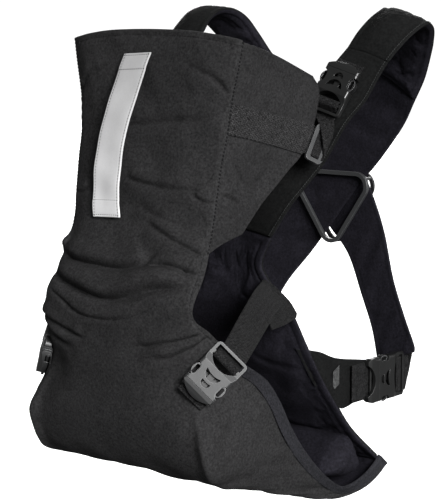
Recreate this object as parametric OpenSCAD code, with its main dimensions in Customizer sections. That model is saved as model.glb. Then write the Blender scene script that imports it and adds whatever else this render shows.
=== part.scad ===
// Soft baby carrier, shown closed as it hangs on its wearer.
// Origin: the middle of the inner panel's back face, at the breastbone. +Z up, -Y away from the wearer,
// +X towards the wearer's left. Millimetres.

/* [Panels] */
// Width of the head panel at its top edge
head_w = 222; // [200:1:240]
// Width of the seat panel between its two front corners
seat_w = 234; // [215:1:250]
// Thickness of the outer fabric panels with their padding
panel_t = 5; // [3:0.5:6]
// Thickness of the padded inner panel
inner_t = 10; // [8:0.5:14]
// Thickness of one layer of fabric
cloth_t = 1.2; // [1:0.1:1.5]

/* [Straps] */
// Thickness of the padded shoulder straps
strap_t = 8; // [7:0.5:9]
// Width of the narrow webbing at the seat and the head
band_w = 30; // [25:1:32]
// Width of the hip webbing
hip_w = 40; // [38:1:42]
// Thickness of the webbing
band_t = 1.6; // [1.2:0.1:2]
// Width of the reflective strap on the front
strip_w = 37; // [25:0.5:42]

/* [Buckles] */
// Thickness of a buckle's body
buckle_t = 11; // [10:0.5:12]
// Wall of a buckle's body
wall = 1.9; // [1.6:0.1:2.2]
// Length of a buckle for the narrow webbing
small_len = 57; // [56:1:66]
// Length of a hip buckle
large_len = 64; // [62:1:70]

/* [Back ring] */
// Width of the triangular back ring across its top bar
ring_w = 96; // [90:1:104]
// Height of the back ring
ring_h = 78; // [72:1:84]
// Diameter of the back ring's bar
ring_bar = 4.6; // [4:0.2:5.4]

/* [Hidden] */

// ---- vectors and smooth curves ----
function unit(v) = v / norm(v);
function pick(p, i) = i < 0 ? 2 * p[0] - p[1] : i >= len(p) ? 2 * p[len(p) - 1] - p[len(p) - 2] : p[i];
function spline(a, b, c, d, t) =
    0.5 * (2 * b + (c - a) * t + (2 * a - 5 * b + 4 * c - d) * t * t + (3 * b - a - 3 * c + d) * t * t * t);
// a smooth curve through the points p, with n steps between each two
function smooth(p, n) = [
    for (i = [0:len(p) - 2], k = [0:n - 1]) spline(pick(p, i - 1), p[i], p[i + 1], pick(p, i + 2), k / n),
    p[len(p) - 1]];
function column(g, j) = [for (row = g) row[j]];
function transpose(g) = [for (j = [0:len(g[0]) - 1]) column(g, j)];
// a smooth surface through rows of points, with nu steps between rows and nv steps along a row
function surface_grid(rows, nu, nv) =
    transpose([for (c = transpose([for (row = rows) smooth(row, nv)])) smooth(c, nu)]);
// a row given from the middle outwards, made whole by mirroring it in X
function whole(row) = concat([for (i = [len(row) - 1:-1:1]) [-row[i][0], row[i][1], row[i][2]]], row);
function mirrored(rows) = [for (row = rows) [for (p = row) [-p[0], p[1], p[2]]]];

// ---- sheets: a smooth surface with a thickness ----
function step_along(g, i, j) = pick(column(g, j), i + 1) - pick(column(g, j), i - 1);
function step_across(g, i, j) = pick(g[i], j + 1) - pick(g[i], j - 1);
function normal_at(g, i, j) = unit(cross(step_along(g, i, j), step_across(g, i, j)));
function shifted(g, t) = [for (i = [0:len(g) - 1])
    [for (j = [0:len(g[0]) - 1]) g[i][j] + t * normal_at(g, i, j)]];
// the grid with its border drawn in by d
function inset(g, d) = [for (i = [0:len(g) - 1]) [for (j = [0:len(g[0]) - 1])
    g[i][j]
    + (j == 0 ? d : j == len(g[0]) - 1 ? -d : 0) * unit(step_across(g, i, j))
    + (i == 0 ? d : i == len(g) - 1 ? -d : 0) * unit(step_along(g, i, j))]];

// the solid between the grid shifted by t0 and by t1 along its normals, with t1 above t0
module sheet(g, t0, t1) {
    nu = len(g);
    nv = len(g[0]);
    low = shifted(g, t0);
    high = shifted(g, t1);
    points = concat([for (row = high) each row], [for (row = low) each row]);
    under = nu * nv;
    // four corners as two triangles, cut the other way on the first half so that mirrored rows stay mirrored
    function quad(a, b, c, d, turn = false) = turn ? [[a, b, d], [b, c, d]] : [[a, b, c], [a, c, d]];
    border = concat(
        [for (j = [0:nv - 2]) j],
        [for (i = [0:nu - 2]) i * nv + nv - 1],
        [for (j = [nv - 1:-1:1]) (nu - 1) * nv + j],
        [for (i = [nu - 1:-1:1]) i * nv]);
    faces = concat(
        [for (i = [0:nu - 2], j = [0:nv - 2])
            each quad(i * nv + j, i * nv + j + 1, (i + 1) * nv + j + 1, (i + 1) * nv + j, 2 * j < nv - 1)],
        [for (i = [0:nu - 2], j = [0:nv - 2])
            each quad(under + i * nv + j, under + (i + 1) * nv + j,
                under + (i + 1) * nv + j + 1, under + i * nv + j + 1, 2 * j < nv - 1)],
        [for (k = [0:len(border) - 1])
            let (a = border[k], b = border[(k + 1) % len(border)]) each quad(b, a, under + a, under + b)]);
    polyhedron(points, faces);
}

// the sheet from t0 to t1 as a closed sleeve of fabric, hollow for its foam
module sleeve(g, t0, t1) {
    difference() {
        sheet(g, t0, t1);
        sheet(inset(g, 3 * cloth_t), t0 + cloth_t, t1 - cloth_t);
    }
}

// the foam inside such a sleeve
module filling(g, t0, t1) sheet(inset(g, 3 * cloth_t + gap), t0 + cloth_t + gap, t1 - cloth_t - gap);

// puts a part drawn about the origin at p, with its X along x_way and its Z facing z_way
module place(p, x_way, z_way) {
    x = unit(x_way);
    y = unit(cross(z_way, x));
    z = cross(x, y);
    multmatrix([[x[0], y[0], z[0], p[0]], [x[1], y[1], z[1], p[1]], [x[2], y[2], z[2], p[2]], [0, 0, 0, 1]])
        children();
}
module right() mirror([1, 0, 0]) children();

gap = 0.4;                       // clear space between neighbouring soft parts
head_k = head_w / 222;
seat_k = seat_w / 234;

// ---- outer panels ----
// one row of the front panel: its height in the middle and at the edge, half its width, and how far out it is
function front_row(zc, ze, hw, yc, ye) = whole([
    [0, yc, zc], [0.45 * hw, yc + 0.05 * (ye - yc), zc + 0.12 * (ze - zc)],
    [0.82 * hw, yc + 0.4 * (ye - yc), zc + 0.55 * (ze - zc)], [hw, ye, ze]]);
front_rows = [
    front_row(256, 246, 111 * head_k, -136, -127),
    front_row(230, 224, 107 * head_k, -138, -128),
    front_row(188, 186, 99 * head_k, -140, -130),
    front_row(157, 156, 96 * head_k, -143, -133),
    front_row(125, 125, 94 * head_k, -149, -140),
    front_row(95, 95, 93 * head_k, -155, -145),
    front_row(68, 68, 92 * head_k, -161, -149),
    front_row(44, 44, 93 * head_k, -171, -157),
    front_row(22, 22, 96 * head_k, -182, -168),
    front_row(0, -3, 99 * seat_k, -190, -181)];
front_grid = surface_grid(front_rows, 2, 2);

side_rows = [
    [[111, -121, 244], [108, -72, 231], [105, -8, 209]],
    [[106, -122, 222], [107, -62, 212], [105, 3, 193]],
    [[99, -124, 187], [104, -62, 172], [106, -7, 160]],
    [[96, -128, 158], [102, -74, 143], [105, -26, 131]],
    [[93.5, -134, 125], [100, -82, 122], [103, -42, 118]],
    [[93, -139, 97], [98, -98, 100], [101, -63, 101]],
    [[92, -143, 72], [96, -118, 77], [99, -84, 84]],
    [[93, -150, 48], [94, -138, 51], [97, -110, 58]]];
side_grid = surface_grid(side_rows, 2, 2);

// one row of the seat panel: its middle, its corner and its edge at the leg opening
function seat_row(c, k, e) = whole([
    c, [0.52 * k[0], c[1] + 0.15 * (k[1] - c[1]), c[2] + 0.2 * (k[2] - c[2])],
    [0.86 * k[0], c[1] + 0.55 * (k[1] - c[1]), c[2] + 0.7 * (k[2] - c[2])],
    k, 0.5 * (k + e), e]);
seat_rows = [
    seat_row([0, -190.5, -2.6], [96 * seat_k, -184, -5.6], [99 * seat_k, -181, -6.6]),
    seat_row([0, -197, -32], [96 * seat_k, -181, -34], [105 * seat_k, -168, -32]),
    seat_row([0, -200, -66], [94 * seat_k, -176.5, -66], [114 * seat_k, -138, -61]),
    seat_row([0, -200, -98], [104 * seat_k, -181, -98], [122 * seat_k, -106, -84]),
    seat_row([0, -197, -133], [117.5 * seat_k, -190, -133], [124 * seat_k, -86, -108]),
    seat_row([0, -186, -162], [118.5 * seat_k, -177, -170], [125 * seat_k, -68, -138]),
    seat_row([0, -164, -180], [114 * seat_k, -149, -184], [126 * seat_k, -48, -165]),
    seat_row([0, -122, -190], [113 * seat_k, -104, -197.5], [127 * seat_k, -22, -192]),
    seat_row([0, -68, -201], [116 * seat_k, -56, -212], [128 * seat_k, 4, -212]),
    seat_row([0, -12, -213], [123 * seat_k, -4, -227], [130 * seat_k, 24, -219]),
    seat_row([0, 44, -223], [129 * seat_k, 46, -228], [132 * seat_k, 50, -213]),
    seat_row([0, 74, -214], [133.5 * seat_k, 73, -213], [134 * seat_k, 67, -203]),
    seat_row([0, 80, -197], [134.5 * seat_k, 79, -197], [134 * seat_k, 77, -195])];
seat_grid = surface_grid(seat_rows, 2, 1);

// the tape that binds the leg opening lies on the last strip of the seat panel
binding_rows = [for (row = [for (i = [4:len(seat_grid) - 1]) seat_grid[i]])
    let (n = len(row), e = row[n - 1], k = row[n - 2], away = unit(k - e)) [e + 14 * away, e + 7 * away, e]];

module front_panel() color("#2b2b2d") sheet(front_grid, -panel_t, 0);
module side_left() sheet(side_grid, -panel_t, 0);
module side_panel_left() color("#2d2d2f") side_left();
module side_panel_right() color("#2d2d2f") right() side_left();
module seat_panel() color("#29292b") sheet(seat_grid, -panel_t, 0);
module binding_left() sheet(binding_rows, gap, gap + cloth_t);
module leg_binding_left() color("#33343a") binding_left();
module leg_binding_right() color("#33343a") right() binding_left();

// the pad behind the baby's head lies inside the front panel, with a stiff foam board between them
head_area = [for (i = [1:6]) [for (j = [2:len(front_grid[0]) - 3]) front_grid[i][j]]];
module head_stiffener() color("#d8d8d0") sheet(inset(head_area, 3), -panel_t - gap - 2, -panel_t - gap);
module head_pad() color("#232326") sheet(head_area, -panel_t - 2 * gap - 9, -panel_t - 2 * gap - 2);

// the strap on the front is stitched down at both ends and stands clear between them
strip_line = smooth([[-12, -139, 232], [-16.5, -144, 214], [-24, -150, 185], [-33, -155, 150],
    [-36.5, -159, 115], [-36.5, -161, 88], [-34.5, -161.8, 70]], 2);
strip_rows = [for (p = strip_line) [p + [-strip_w / 2, 1, -1], p, p + [strip_w / 2, -1, 1]]];
module reflective_strap() color("#c9ccd0") sheet(strip_rows, 0, 1.5 * cloth_t);

// ---- inner harness ----
function inner_row(z, hw, yc, ye) = whole([[0, yc, z], [0.5 * hw, yc + 0.2 * (ye - yc), z], [hw, ye, z]]);
inner_rows = [
    whole([[0, -12, 48.2], [29, -13.2, 46], [58, -18, 41.4]]),
    inner_row(15, 46, -12, -18),
    inner_row(0, 51, -12, -17),
    inner_row(-19, 67, -12, -15),
    inner_row(-37, 81, -12, -10),
    inner_row(-74, 97, -8, -3),
    inner_row(-105, 106, 4, 8),
    inner_row(-137, 114, 22, 25),
    inner_row(-165, 121, 43, 42),
    inner_row(-192, 131, 68, 66)];
inner_grid = surface_grid(inner_rows, 2, 2);
module inner_panel() color("#1f1f22") sleeve(inner_grid, -inner_t, 0);
module inner_foam() color("#d8d8d0") filling(inner_grid, -inner_t, 0);

// a bolster along the trough where the inner panel meets the seat: its section, and how it tapers to its ends
roll_half = 122 * seat_k;
roll_middle = [0, 34, -192];
roll_section = [
    [7, 24], [16, 13], [23, 1], [28, -11], [19, -20], [2, -22.5], [-19, -17.5], [-36, -12], [-31, 0], [-17, 14],
    [-4, 23]];
roll_ends = [[-1, 0.55], [-0.97, 0.85], [-0.9, 0.97], [-0.5, 1], [0, 1], [0.5, 1], [0.9, 0.97], [0.97, 0.85],
    [1, 0.55]];
module base_roll() color("#222226") {
    sides = len(roll_section);
    points = [for (e = roll_ends, p = roll_section) roll_middle + [e[0] * roll_half, e[1] * p[0], e[1] * p[1]]];
    last = (len(roll_ends) - 1) * sides;
    faces = concat(
        [[for (a = [sides - 1:-1:0]) a]],
        [for (s = [0:len(roll_ends) - 2], a = [0:sides - 1])
            let (b = (a + 1) % sides, p = s * sides, q = p + sides)
            each [[p + a, p + b, q + a], [p + b, q + b, q + a]]],
        [[for (a = [0:sides - 1]) last + a]]);
    polyhedron(points, faces);
}

// straps are given by their inner and outer edges, from the breastbone upwards
chest_rows = [
    [[6, -13, 50], [34, -16, 47], [60, -19, 43]],
    [[22, -12, 76], [50, -12, 76], [78, -10, 75]],
    [[42, -7, 104], [69, -3, 104], [95, 4, 103]],
    [[56, 0, 126], [81, 5, 124], [105, 13, 121]],
    [[73, 12, 163], [98, 17, 162], [124, 24, 160]],
    [[85, 22, 191], [111, 27, 188], [138, 36, 183]],
    [[94, 35, 214], [120, 38, 211], [147, 45, 206]],
    [[102, 54, 235], [127.5, 52.6, 229.4], [152.5, 51.6, 220]]];
chest_grid = surface_grid(chest_rows, 1, 1);
shoulder_rows = [
    [[102, 55, 236], [128, 54, 231], [153, 54, 223]],
    [[106, 67, 252], [132, 66, 247], [158, 67, 237]],
    [[109, 84, 266], [135, 83, 261], [160, 87, 250]],
    [[110, 103, 275], [136.5, 104, 271], [162.5, 111, 261]],
    [[103, 118, 276], [132, 122, 269], [159.5, 128, 256]],
    [[95, 132, 267], [122.5, 137, 257], [150.5, 142, 243]],
    [[88, 146, 248], [114, 149, 240], [141, 152, 228]],
    [[79, 158, 226], [102, 162, 215], [125, 165, 202]],
    [[66, 165, 208], [88, 168, 195], [110, 170, 178]]];
shoulder_grid = surface_grid(shoulder_rows, 2, 1);
// the right strap lies flatter over the shoulder: its outer edge is higher by this much, row by row
right_rise = [0, 4, 8, 11, 11, 8, 4, 0, 0];
right_grid = surface_grid([for (i = [0:len(shoulder_rows) - 1])
    let (row = shoulder_rows[i], r = right_rise[i]) [row[0], row[1] + [0, 0, r / 2], row[2] + [0, 0, r]]], 2, 1);
module chest_left() sheet(chest_grid, 0, strap_t);
module chest_strap_left() color("#26262a") chest_left();
module chest_strap_right() color("#26262a") right() chest_left();
module shoulder_strap_left() color("#26262a") sleeve(shoulder_grid, 0, strap_t);
module shoulder_strap_right() color("#26262a") right() sleeve(right_grid, 0, strap_t);
module shoulder_foam() color("#d8d8d0") {
    filling(shoulder_grid, 0, strap_t);
    right() filling(right_grid, 0, strap_t);
}

// from the left shoulder through the ring to the right hip
back_t = 3;                      // thickness of a flat back strap
back_rows = [
    [[65.5, 166, 206.6], [87.5, 169, 193.6], [109.5, 171, 176.6]],
    [[38, 172, 181], [63, 174, 165.5], [91, 176, 148.5]],
    [[6, 175, 150], [33, 175, 129.5], [61.5, 175, 110]],
    [[-22, 175, 116], [3, 175, 96], [29, 175, 75]],
    [[-48, 175, 80], [-26, 175, 60], [-2, 175, 36]],
    [[-76, 173, 36], [-54, 173, 19], [-31, 174, 0]],
    [[-99, 165, -14], [-79, 165, -26], [-59, 164, -38]],
    [[-116, 155, -54], [-96, 156, -64], [-76, 157, -74]],
    [[-128, 145, -86], [-103, 146, -95], [-79, 147, -105]]];
back_grid = surface_grid(back_rows, 1, 1);
// the right strap, drawn on the left and mirrored: it lies over the left one where they cross
right_back_rows = [
    [[65.5, 166, 206.6], [87.5, 169, 193.6], [109.5, 171, 176.6]],
    [[38, 172, 181], [63, 174, 166], [89, 176, 150]],
    [[6, 175, 150], [32, 175, 131], [58, 175, 113]],
    [[-22, 175, 116], [2, 175, 97], [28, 175, 76]],
    [[-46, 175, 78], [-18, 175, 58], [12, 175, 36]],
    [[-67, 173, 32], [-43, 173, 17], [-19, 174, 1]],
    [[-86, 165, -20], [-65, 165, -32], [-45, 165, -43]],
    [[-108, 155, -58], [-86, 156, -67], [-65, 157, -77]],
    [[-128, 145, -86], [-103, 146, -95], [-79, 147, -105]]];
back_over = [for (row = mirrored(right_back_rows)) [for (i = [2:-1:0]) row[i] + [0, back_t + gap, 0]]];
module back_strap_left() color("#232327") sheet(back_grid, 0, back_t);
module back_strap_right() color("#232327") sheet(back_over, 0, back_t);

// ---- back ring: two triangular frames with the straps between them ----
ring_r = 14;                     // radius of the ring's corners on the middle of its bar
ring_top = 93;
ring_corners = [
    [-ring_w / 2 + ring_r, ring_top - ring_r], [ring_w / 2 - ring_r, ring_top - ring_r],
    [0, ring_top - ring_h + ring_r]];
// a plate of thickness t round three discs of radius r at the ring's corners
module triangle(r, t) {
    for (c = ring_corners) translate([c[0], c[1], 0]) cylinder(h = t, r = r, $fn = 64);
    linear_extrude(t) polygon([for (i = [0:2])
        let (a = ring_corners[i], b = ring_corners[(i + 1) % 3], n = unit([a[1] - b[1], b[0] - a[0]]))
        each [a + r * n, b + r * n]]);
}
// a frame whose outer face is at y
module ring_frame(y, t) translate([0, y, 0]) rotate([90, 0, 0]) difference() {
    triangle(ring_r + ring_bar / 2, t);
    translate([0, 0, -1]) triangle(ring_r - ring_bar / 2, t + 2);
}
ring_face = 170;                 // outer face of the frame on the wearer's side
cover_t = 2.6;
cover_face = 181.6;              // outer face of the cover
post_r = 1.7;
posts = [[-ring_w / 2 + 2, ring_top - 5], [ring_w / 2 - 2, ring_top - 5], [0, ring_top - ring_h]];
module back_ring() color("#3a3b3e") {
    ring_frame(ring_face, 4);
    for (c = posts) translate([c[0], cover_face - cover_t - 0.05, c[1]]) rotate([90, 0, 0])
        cylinder(h = cover_face - cover_t - ring_face + 1, r = post_r, $fn = 32);
}
module back_ring_cover() color("#333437") ring_frame(cover_face, cover_t);

// ---- waist ----
wing_rows = [
    [[97, 9.6, -77], [104, 21.6, -107], [108, 40.6, -140]],
    [[101, 18, -79.5], [103, 35, -110], [105, 52, -143]],
    [[103, 36, -87], [105, 48, -113], [106, 62, -141]],
    [[105, 52, -91], [106, 58, -115], [107, 66, -139]],
    [[107, 70, -94], [107, 70, -116], [107, 70, -138]]];
wing_grid = surface_grid(wing_rows, 2, 2);
wing_t = 3;
module wing_left() sheet(wing_grid, 0, wing_t);
module waist_wing_left() color("#1d1d20") wing_left();
module waist_wing_right() color("#1d1d20") right() wing_left();
module care_label() color("#b9bbc0")
    sheet([[[105.2, 38, -96], [105.2, 38, -121]], [[106.6, 48, -96], [106.6, 48, -121]]], -0.6, 0);

// ---- side-release buckles ----
// Each is drawn with the male half's cap at -X, the female half's ladder frame at +X and its face up, +Z.
small_w = band_w + 8;
large_w = hip_w + 8;
// length of the male half's cap: a short rounded one, or a longer one scooped out for the hip webbing
function scooped(w) = w > 43;
function cap_len(w) = scooped(w) ? 14 : 10;
rail = 2.6;                      // the end bar of the ladder frame
slot = 6.9;                      // the webbing's window beside it
ladder = 3.4;                    // the ladder bar
frame_t = 6;
clear = 0.35;

module rounded_plate(x0, x1, w, r) {
    translate([x0, -w / 2]) square([x1 - x0 - r, w]);
    translate([x1 - r - 0.01, -w / 2 + r]) square([r + 0.01, w - 2 * r]);
    for (y = [-1, 1]) translate([x1 - r, y * (w / 2 - r)]) circle(r, $fn = 48);
}
// the shape seen from the end, with rounded edges
module end_shape(w, t, r) {
    square([w - 2 * r, t], center = true);
    square([w, t - 2 * r], center = true);
    for (y = [-1, 1], z = [-1, 1]) translate([y * (w / 2 - r), z * (t / 2 - r)]) circle(r, $fn = 48);
}
module along_x(x0, x1) translate([x0, 0, 0]) rotate([90, 0, 90]) linear_extrude(x1 - x0) children();
module side_shape(w) rotate([90, 0, 0]) linear_extrude(w + 2, center = true) children();
module crescent(x, r, back_x, back_r) difference() {
    translate([x + r, 0]) circle(r, $fn = 64);
    translate([back_x + back_r, 0]) circle(back_r, $fn = 64);
}

window_x = [8.6, 13.6];          // the middles of a side window's two rounded ends
window_r = 5.3;
cavity = 23.4;                   // depth of the hollow that takes the tongue and the arms
module female(len, w) {
    f = len - cap_len(w);
    h = w / 2;
    t = buckle_t;
    bar_x = f - rail - slot - ladder;            // near edge of the ladder bar
    chord = h - 2.9;                             // half the width of the windows
    depth = 9;
    arc_r = (chord * chord + depth * depth) / (2 * depth);
    difference() {
        intersection() {
            translate([0, 0, -t / 2]) linear_extrude(t) rounded_plate(clear, f, w, 4);
            side_shape(w) polygon([[0, -t / 2], [0, t / 2], [f - 22, t / 2], [f - 15, frame_t / 2], [f, frame_t / 2 - 0.4],
                [f, 0.4 - frame_t / 2], [f - 15, -frame_t / 2], [f - 22, -t / 2]]);
            along_x(0, f) end_shape(w, t, 3);
        }
        translate([-1, wall - h, wall - t / 2]) cube([cavity + 1, w - 2 * wall, t - 2 * wall]);
        // the windows that the locking arms bow out through
        for (y = [-h, h]) translate([0, y, -t / 2 - 1]) linear_extrude(t + 2) {
            for (x = window_x) translate([x, 0]) circle(window_r, $fn = 48);
            translate([window_x[0], -window_r]) square([window_x[1] - window_x[0], 2 * window_r]);
        }
        // a half moon and a crescent in the face, and the large one that runs through beside the ladder bar
        translate([0, 0, 0.1]) linear_extrude(t) crescent(3.2, 5.2, 8.4, 14);
        translate([0, 0, 0.1]) linear_extrude(t) crescent(11.3, 9, 17.8, 20);
        translate([0, 0, -t]) linear_extrude(2 * t) intersection() {
            translate([bar_x - depth + arc_r, 0]) circle(arc_r, $fn = 96);
            translate([bar_x - depth - 1, -h]) square([depth + 1, w]);
        }
        translate([f - rail - slot, -chord, -t]) cube([slot, 2 * chord, 2 * t]);
    }
}

cap_rise = 8;                    // how far a short cap's rounded end bulges
function cap_tip(w) = (w * w / 4 + cap_rise * cap_rise) / (2 * cap_rise);
scoop_r = 22;
scoop_depth = 8;
module cap_outline(w) {
    c = cap_len(w);
    if (scooped(w)) difference() {
        mirror([1, 0]) rounded_plate(0, c, w, 5);
        translate([scoop_depth - scoop_r - c, 0]) circle(scoop_r, $fn = 128);
    } else intersection() {
        translate([-c, -w / 2]) square([c, w]);
        translate([cap_tip(w) - c, 0]) circle(cap_tip(w), $fn = 128);
    }
}
lip = 3.4;                       // side wall of the cap's channel
module male(w) {
    c = cap_len(w);
    h = w / 2;
    t = buckle_t;
    bar_r = 1.5;
    difference() {
        intersection() {
            translate([0, 0, -t / 2]) linear_extrude(t) cap_outline(w);
            side_shape(w) polygon([[0, -t / 2], [0, t / 2], [-0.4 * c, t / 2 - 0.6], [-0.75 * c, t / 2 - 2.4],
                [-c, 0.9], [-c, -t / 2]]);
            along_x(-c, 0) end_shape(w, t, 3);
        }
        // a channel under the cap for the webbing, and a pocket round the bar that it loops over
        translate([-c - 1, lip - h, -t]) cube([c - 0.5, w - 2 * lip, t - 3.5]);
        translate([1.8 - c, lip - h, -t]) cube([c - 3.6, w - 2 * lip, t + 0.8]);
    }
    translate([-c / 2, 0, -1.7]) rotate([90, 0, 0]) cylinder(h = w - 4, r = bar_r, center = true, $fn = 32);
    // the plug that fills the mouth between the arms, and the guide tongue
    translate([-0.1, 10.5 - h, wall + clear - t / 2]) cube([5, w - 21, t - 2 * wall - 2 * clear]);
    translate([4.8, -3.2, -1.6]) cube([16, 6.4, 3.2]);
}

arm_x = 2.3;                     // where an arm's living hinge lies
function arm_y(w) = w / 2 - 7;
// the locking arm on the +Y side: a bow with an oval hole, and the latch at its tip
arm_hole = [7.9, 14.4];          // the middles of the two rounded ends of the hole along each arm
arm_hole_r = 1.9;
module arm(w) {
    h = w / 2;
    t = buckle_t - 2 * wall - 2 * clear;
    translate([0, 0, -t / 2]) linear_extrude(t) difference() {
        union() {
            translate([arm_x, arm_y(w)]) circle(1.9, $fn = 24);
            polygon(concat([[arm_x, h - 8.7], [11, h - 6.6], [18.5, h - 5.9], [21, h - 5], [21.6, h - 3.9],
                [20.6, h - 2.9], [18.6, h - 2.6]], smooth([[17.6, h - 0.9], [15, h + 0.5], [12, h + 1.1],
                [9, h + 0.7], [6.6, h - 0.7], [5, h - 2.4], [3.9, h - 3.6]], 3), [[arm_x, h - 5]]));
        }
        for (x = arm_hole) translate([x, h - 2.7]) circle(arm_hole_r, $fn = 24);
        translate([arm_hole[0], h - 2.7 - arm_hole_r]) square([arm_hole[1] - arm_hole[0], 2 * arm_hole_r]);
    }
}

// the webbing where it threads through the ladder frame
module threaded(len, w) {
    f = len - cap_len(w);
    top = frame_t / 2 + 0.4;
    side_shape(w - 2 - 8) translate([f - 50, 0]) polygon([
        [36.5, top + band_t], [41.9, top + band_t], [46.3, -top], [54, -top], [54, -top - band_t],
        [45.5, -top - band_t], [40.9, top], [36.5, top]]);
}
// the sewn webbing that holds the male half, under its cap and a little beyond it
tab_end = 13.5;
module tab_in_cap(w, drop) intersection() {
    translate([-tab_end, -(w - 8) / 2, -5.6 - drop]) cube([tab_end - 3.6, w - 8, band_t + drop]);
    translate([cap_tip(w) - tab_end, 0, -buckle_t]) cylinder(h = 2 * buckle_t, r = cap_tip(w), $fn = 128);
}

// where each buckle lies: the mouth of its female half, its length and its face
seat_at = [105.3, -184.1, -82];
seat_way = [40, 62, 67.5];
seat_face = [0.666, -0.703, 0.251];
head_at = [116, 29, 212];
head_way = [-13, -31, -54];
head_face = [0.25, -0.87, 0.43];
hip_at = [115, 94, -118];
hip_way = [0, 1, 0];
hip_face = [1, 0, 0];
module at_seat() place(seat_at, seat_way, seat_face) children();
module at_head() place(head_at, head_way, head_face) children();
module at_hip() place(hip_at, hip_way, hip_face) children();
hard = "#3c3d40";
flip = [0, 1, 0];

module seat_female_left() color("#6b6d70") at_seat() female(small_len, small_w);
module seat_female_right() color("#6b6d70") right() at_seat() female(small_len, small_w);
module seat_male_left() color("#6b6d70") at_seat() male(small_w);
module seat_male_right() color("#6b6d70") right() at_seat() male(small_w);
module seat_front_arm_left() color(hard) at_seat() arm(small_w);
module seat_rear_arm_left() color(hard) at_seat() mirror(flip) arm(small_w);
module seat_front_arm_right() color(hard) right() at_seat() arm(small_w);
module seat_rear_arm_right() color(hard) right() at_seat() mirror(flip) arm(small_w);

module head_female_left() color(hard) at_head() female(small_len, small_w);
module head_female_right() color(hard) right() at_head() female(small_len, small_w);
module head_male_left() color(hard) at_head() male(small_w);
module head_male_right() color(hard) right() at_head() male(small_w);
module head_outer_arm_left() color(hard) at_head() arm(small_w);
module head_inner_arm_left() color(hard) at_head() mirror(flip) arm(small_w);
module head_outer_arm_right() color(hard) right() at_head() arm(small_w);
module head_inner_arm_right() color(hard) right() at_head() mirror(flip) arm(small_w);

module hip_female_left() color(hard) at_hip() female(large_len, large_w);
module hip_female_right() color(hard) right() at_hip() female(large_len, large_w);
module hip_male_left() color(hard) at_hip() male(large_w);
module hip_male_right() color(hard) right() at_hip() male(large_w);
module hip_upper_arm_left() color(hard) at_hip() arm(large_w);
module hip_lower_arm_left() color(hard) at_hip() mirror(flip) arm(large_w);
module hip_upper_arm_right() color(hard) right() at_hip() arm(large_w);
module hip_lower_arm_right() color(hard) right() at_hip() mirror(flip) arm(large_w);

// ---- webbing ----
web = "#2e2e31";
seat_web_rows = [
    [[46, -21, -4], [67, -18, -21], [88, -15, -38]],
    [[74, -64, -16], [87, -62, -28], [98, -60, -41]],
    [[97, -110, -25], [106, -105, -36], [115, -101, -48]],
    [[113.5, -154.9, -39.8], [122, -149.6, -49.6], [130.5, -144.3, -59.4]]];
module seat_web() {
    sheet(surface_grid(seat_web_rows, 2, 1), 0, band_t);
    at_seat() threaded(small_len, small_w);
}
module seat_webbing_left() color(web) seat_web();
module seat_webbing_right() color(web) right() seat_web();
module seat_tabs() color(web) {
    at_seat() tab_in_cap(small_w, 0.8);
    right() at_seat() tab_in_cap(small_w, 0.8);
}

// the webbing sewn across the side panel, from the second row of its surface down to the third
module head_band() sheet([for (i = [4:6]) side_grid[i]], gap, gap + band_t);
module head_band_left() color(web) head_band();
module head_band_right() color(web) right() head_band();

loop_at = [112.5, -8.1, 140.5];
loop_bar = [0, -19, -30];        // the way its long bars run
loop_face = [12, -6, 4];
loop_l = band_w + 10;
loop_w = 18;
loop_t = 3.6;
module head_loop() place(loop_at, loop_bar, loop_face) difference() {
    translate([0, 0, -loop_t / 2]) linear_extrude(loop_t) end_shape(loop_l, loop_w, 4);
    translate([0, 0, -loop_t]) linear_extrude(2 * loop_t) end_shape(loop_l - 8, loop_w - 8, 1.5);
}
module head_loop_left() color("#55575a") head_loop();
module head_loop_right() color("#55575a") right() head_loop();

head_web_rows = [
    [[91.3, 7.2, 171.6], [104.5, 8.9, 167.4], [117.8, 10.6, 163.2]],
    [[112, -4, 160], [117.5, -1, 158.5], [124, 4, 157]],
    [[118.8, -11.6, 126.2], [119.2, -4.1, 138], [119.6, 3.4, 149.8]]];
module head_web() {
    sheet(surface_grid(head_web_rows, 2, 1), 0, band_t);
    at_head() threaded(small_len, small_w);
}
module head_webbing_left() color(web) head_web();
module head_webbing_right() color(web) right() head_web();
module head_tabs() color(web) {
    at_head() tab_in_cap(small_w, 1);
    right() at_head() tab_in_cap(small_w, 1);
}

hip_web_x = hip_at[0] - 5.6;
hip_web_rows = [for (y = [58, 74, hip_at[1] - 3.6])
    [for (z = [hip_w / 2, -hip_w / 2]) [hip_web_x, y, hip_at[2] + z]]];
module hip_web() sheet(hip_web_rows, -band_t, 0);
module hip_webbing() color(web) {
    hip_web();
    right() hip_web();
}
hip_tab_rows = [
    [[111.6, 145, -98], [111.6, 145, -138]],
    [[119, 154, -95], [114, 151, -138]],
    [[123, 152, -92], [110, 155, -129]],
    [[117, 150, -93], [93, 153, -112]]];
module hip_tab() {
    sheet(surface_grid(hip_tab_rows, 2, 2), -band_t, 0);
    at_hip() threaded(large_len, large_w);
}
module hip_tabs() color(web) {
    hip_tab();
    right() hip_tab();
}

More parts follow.
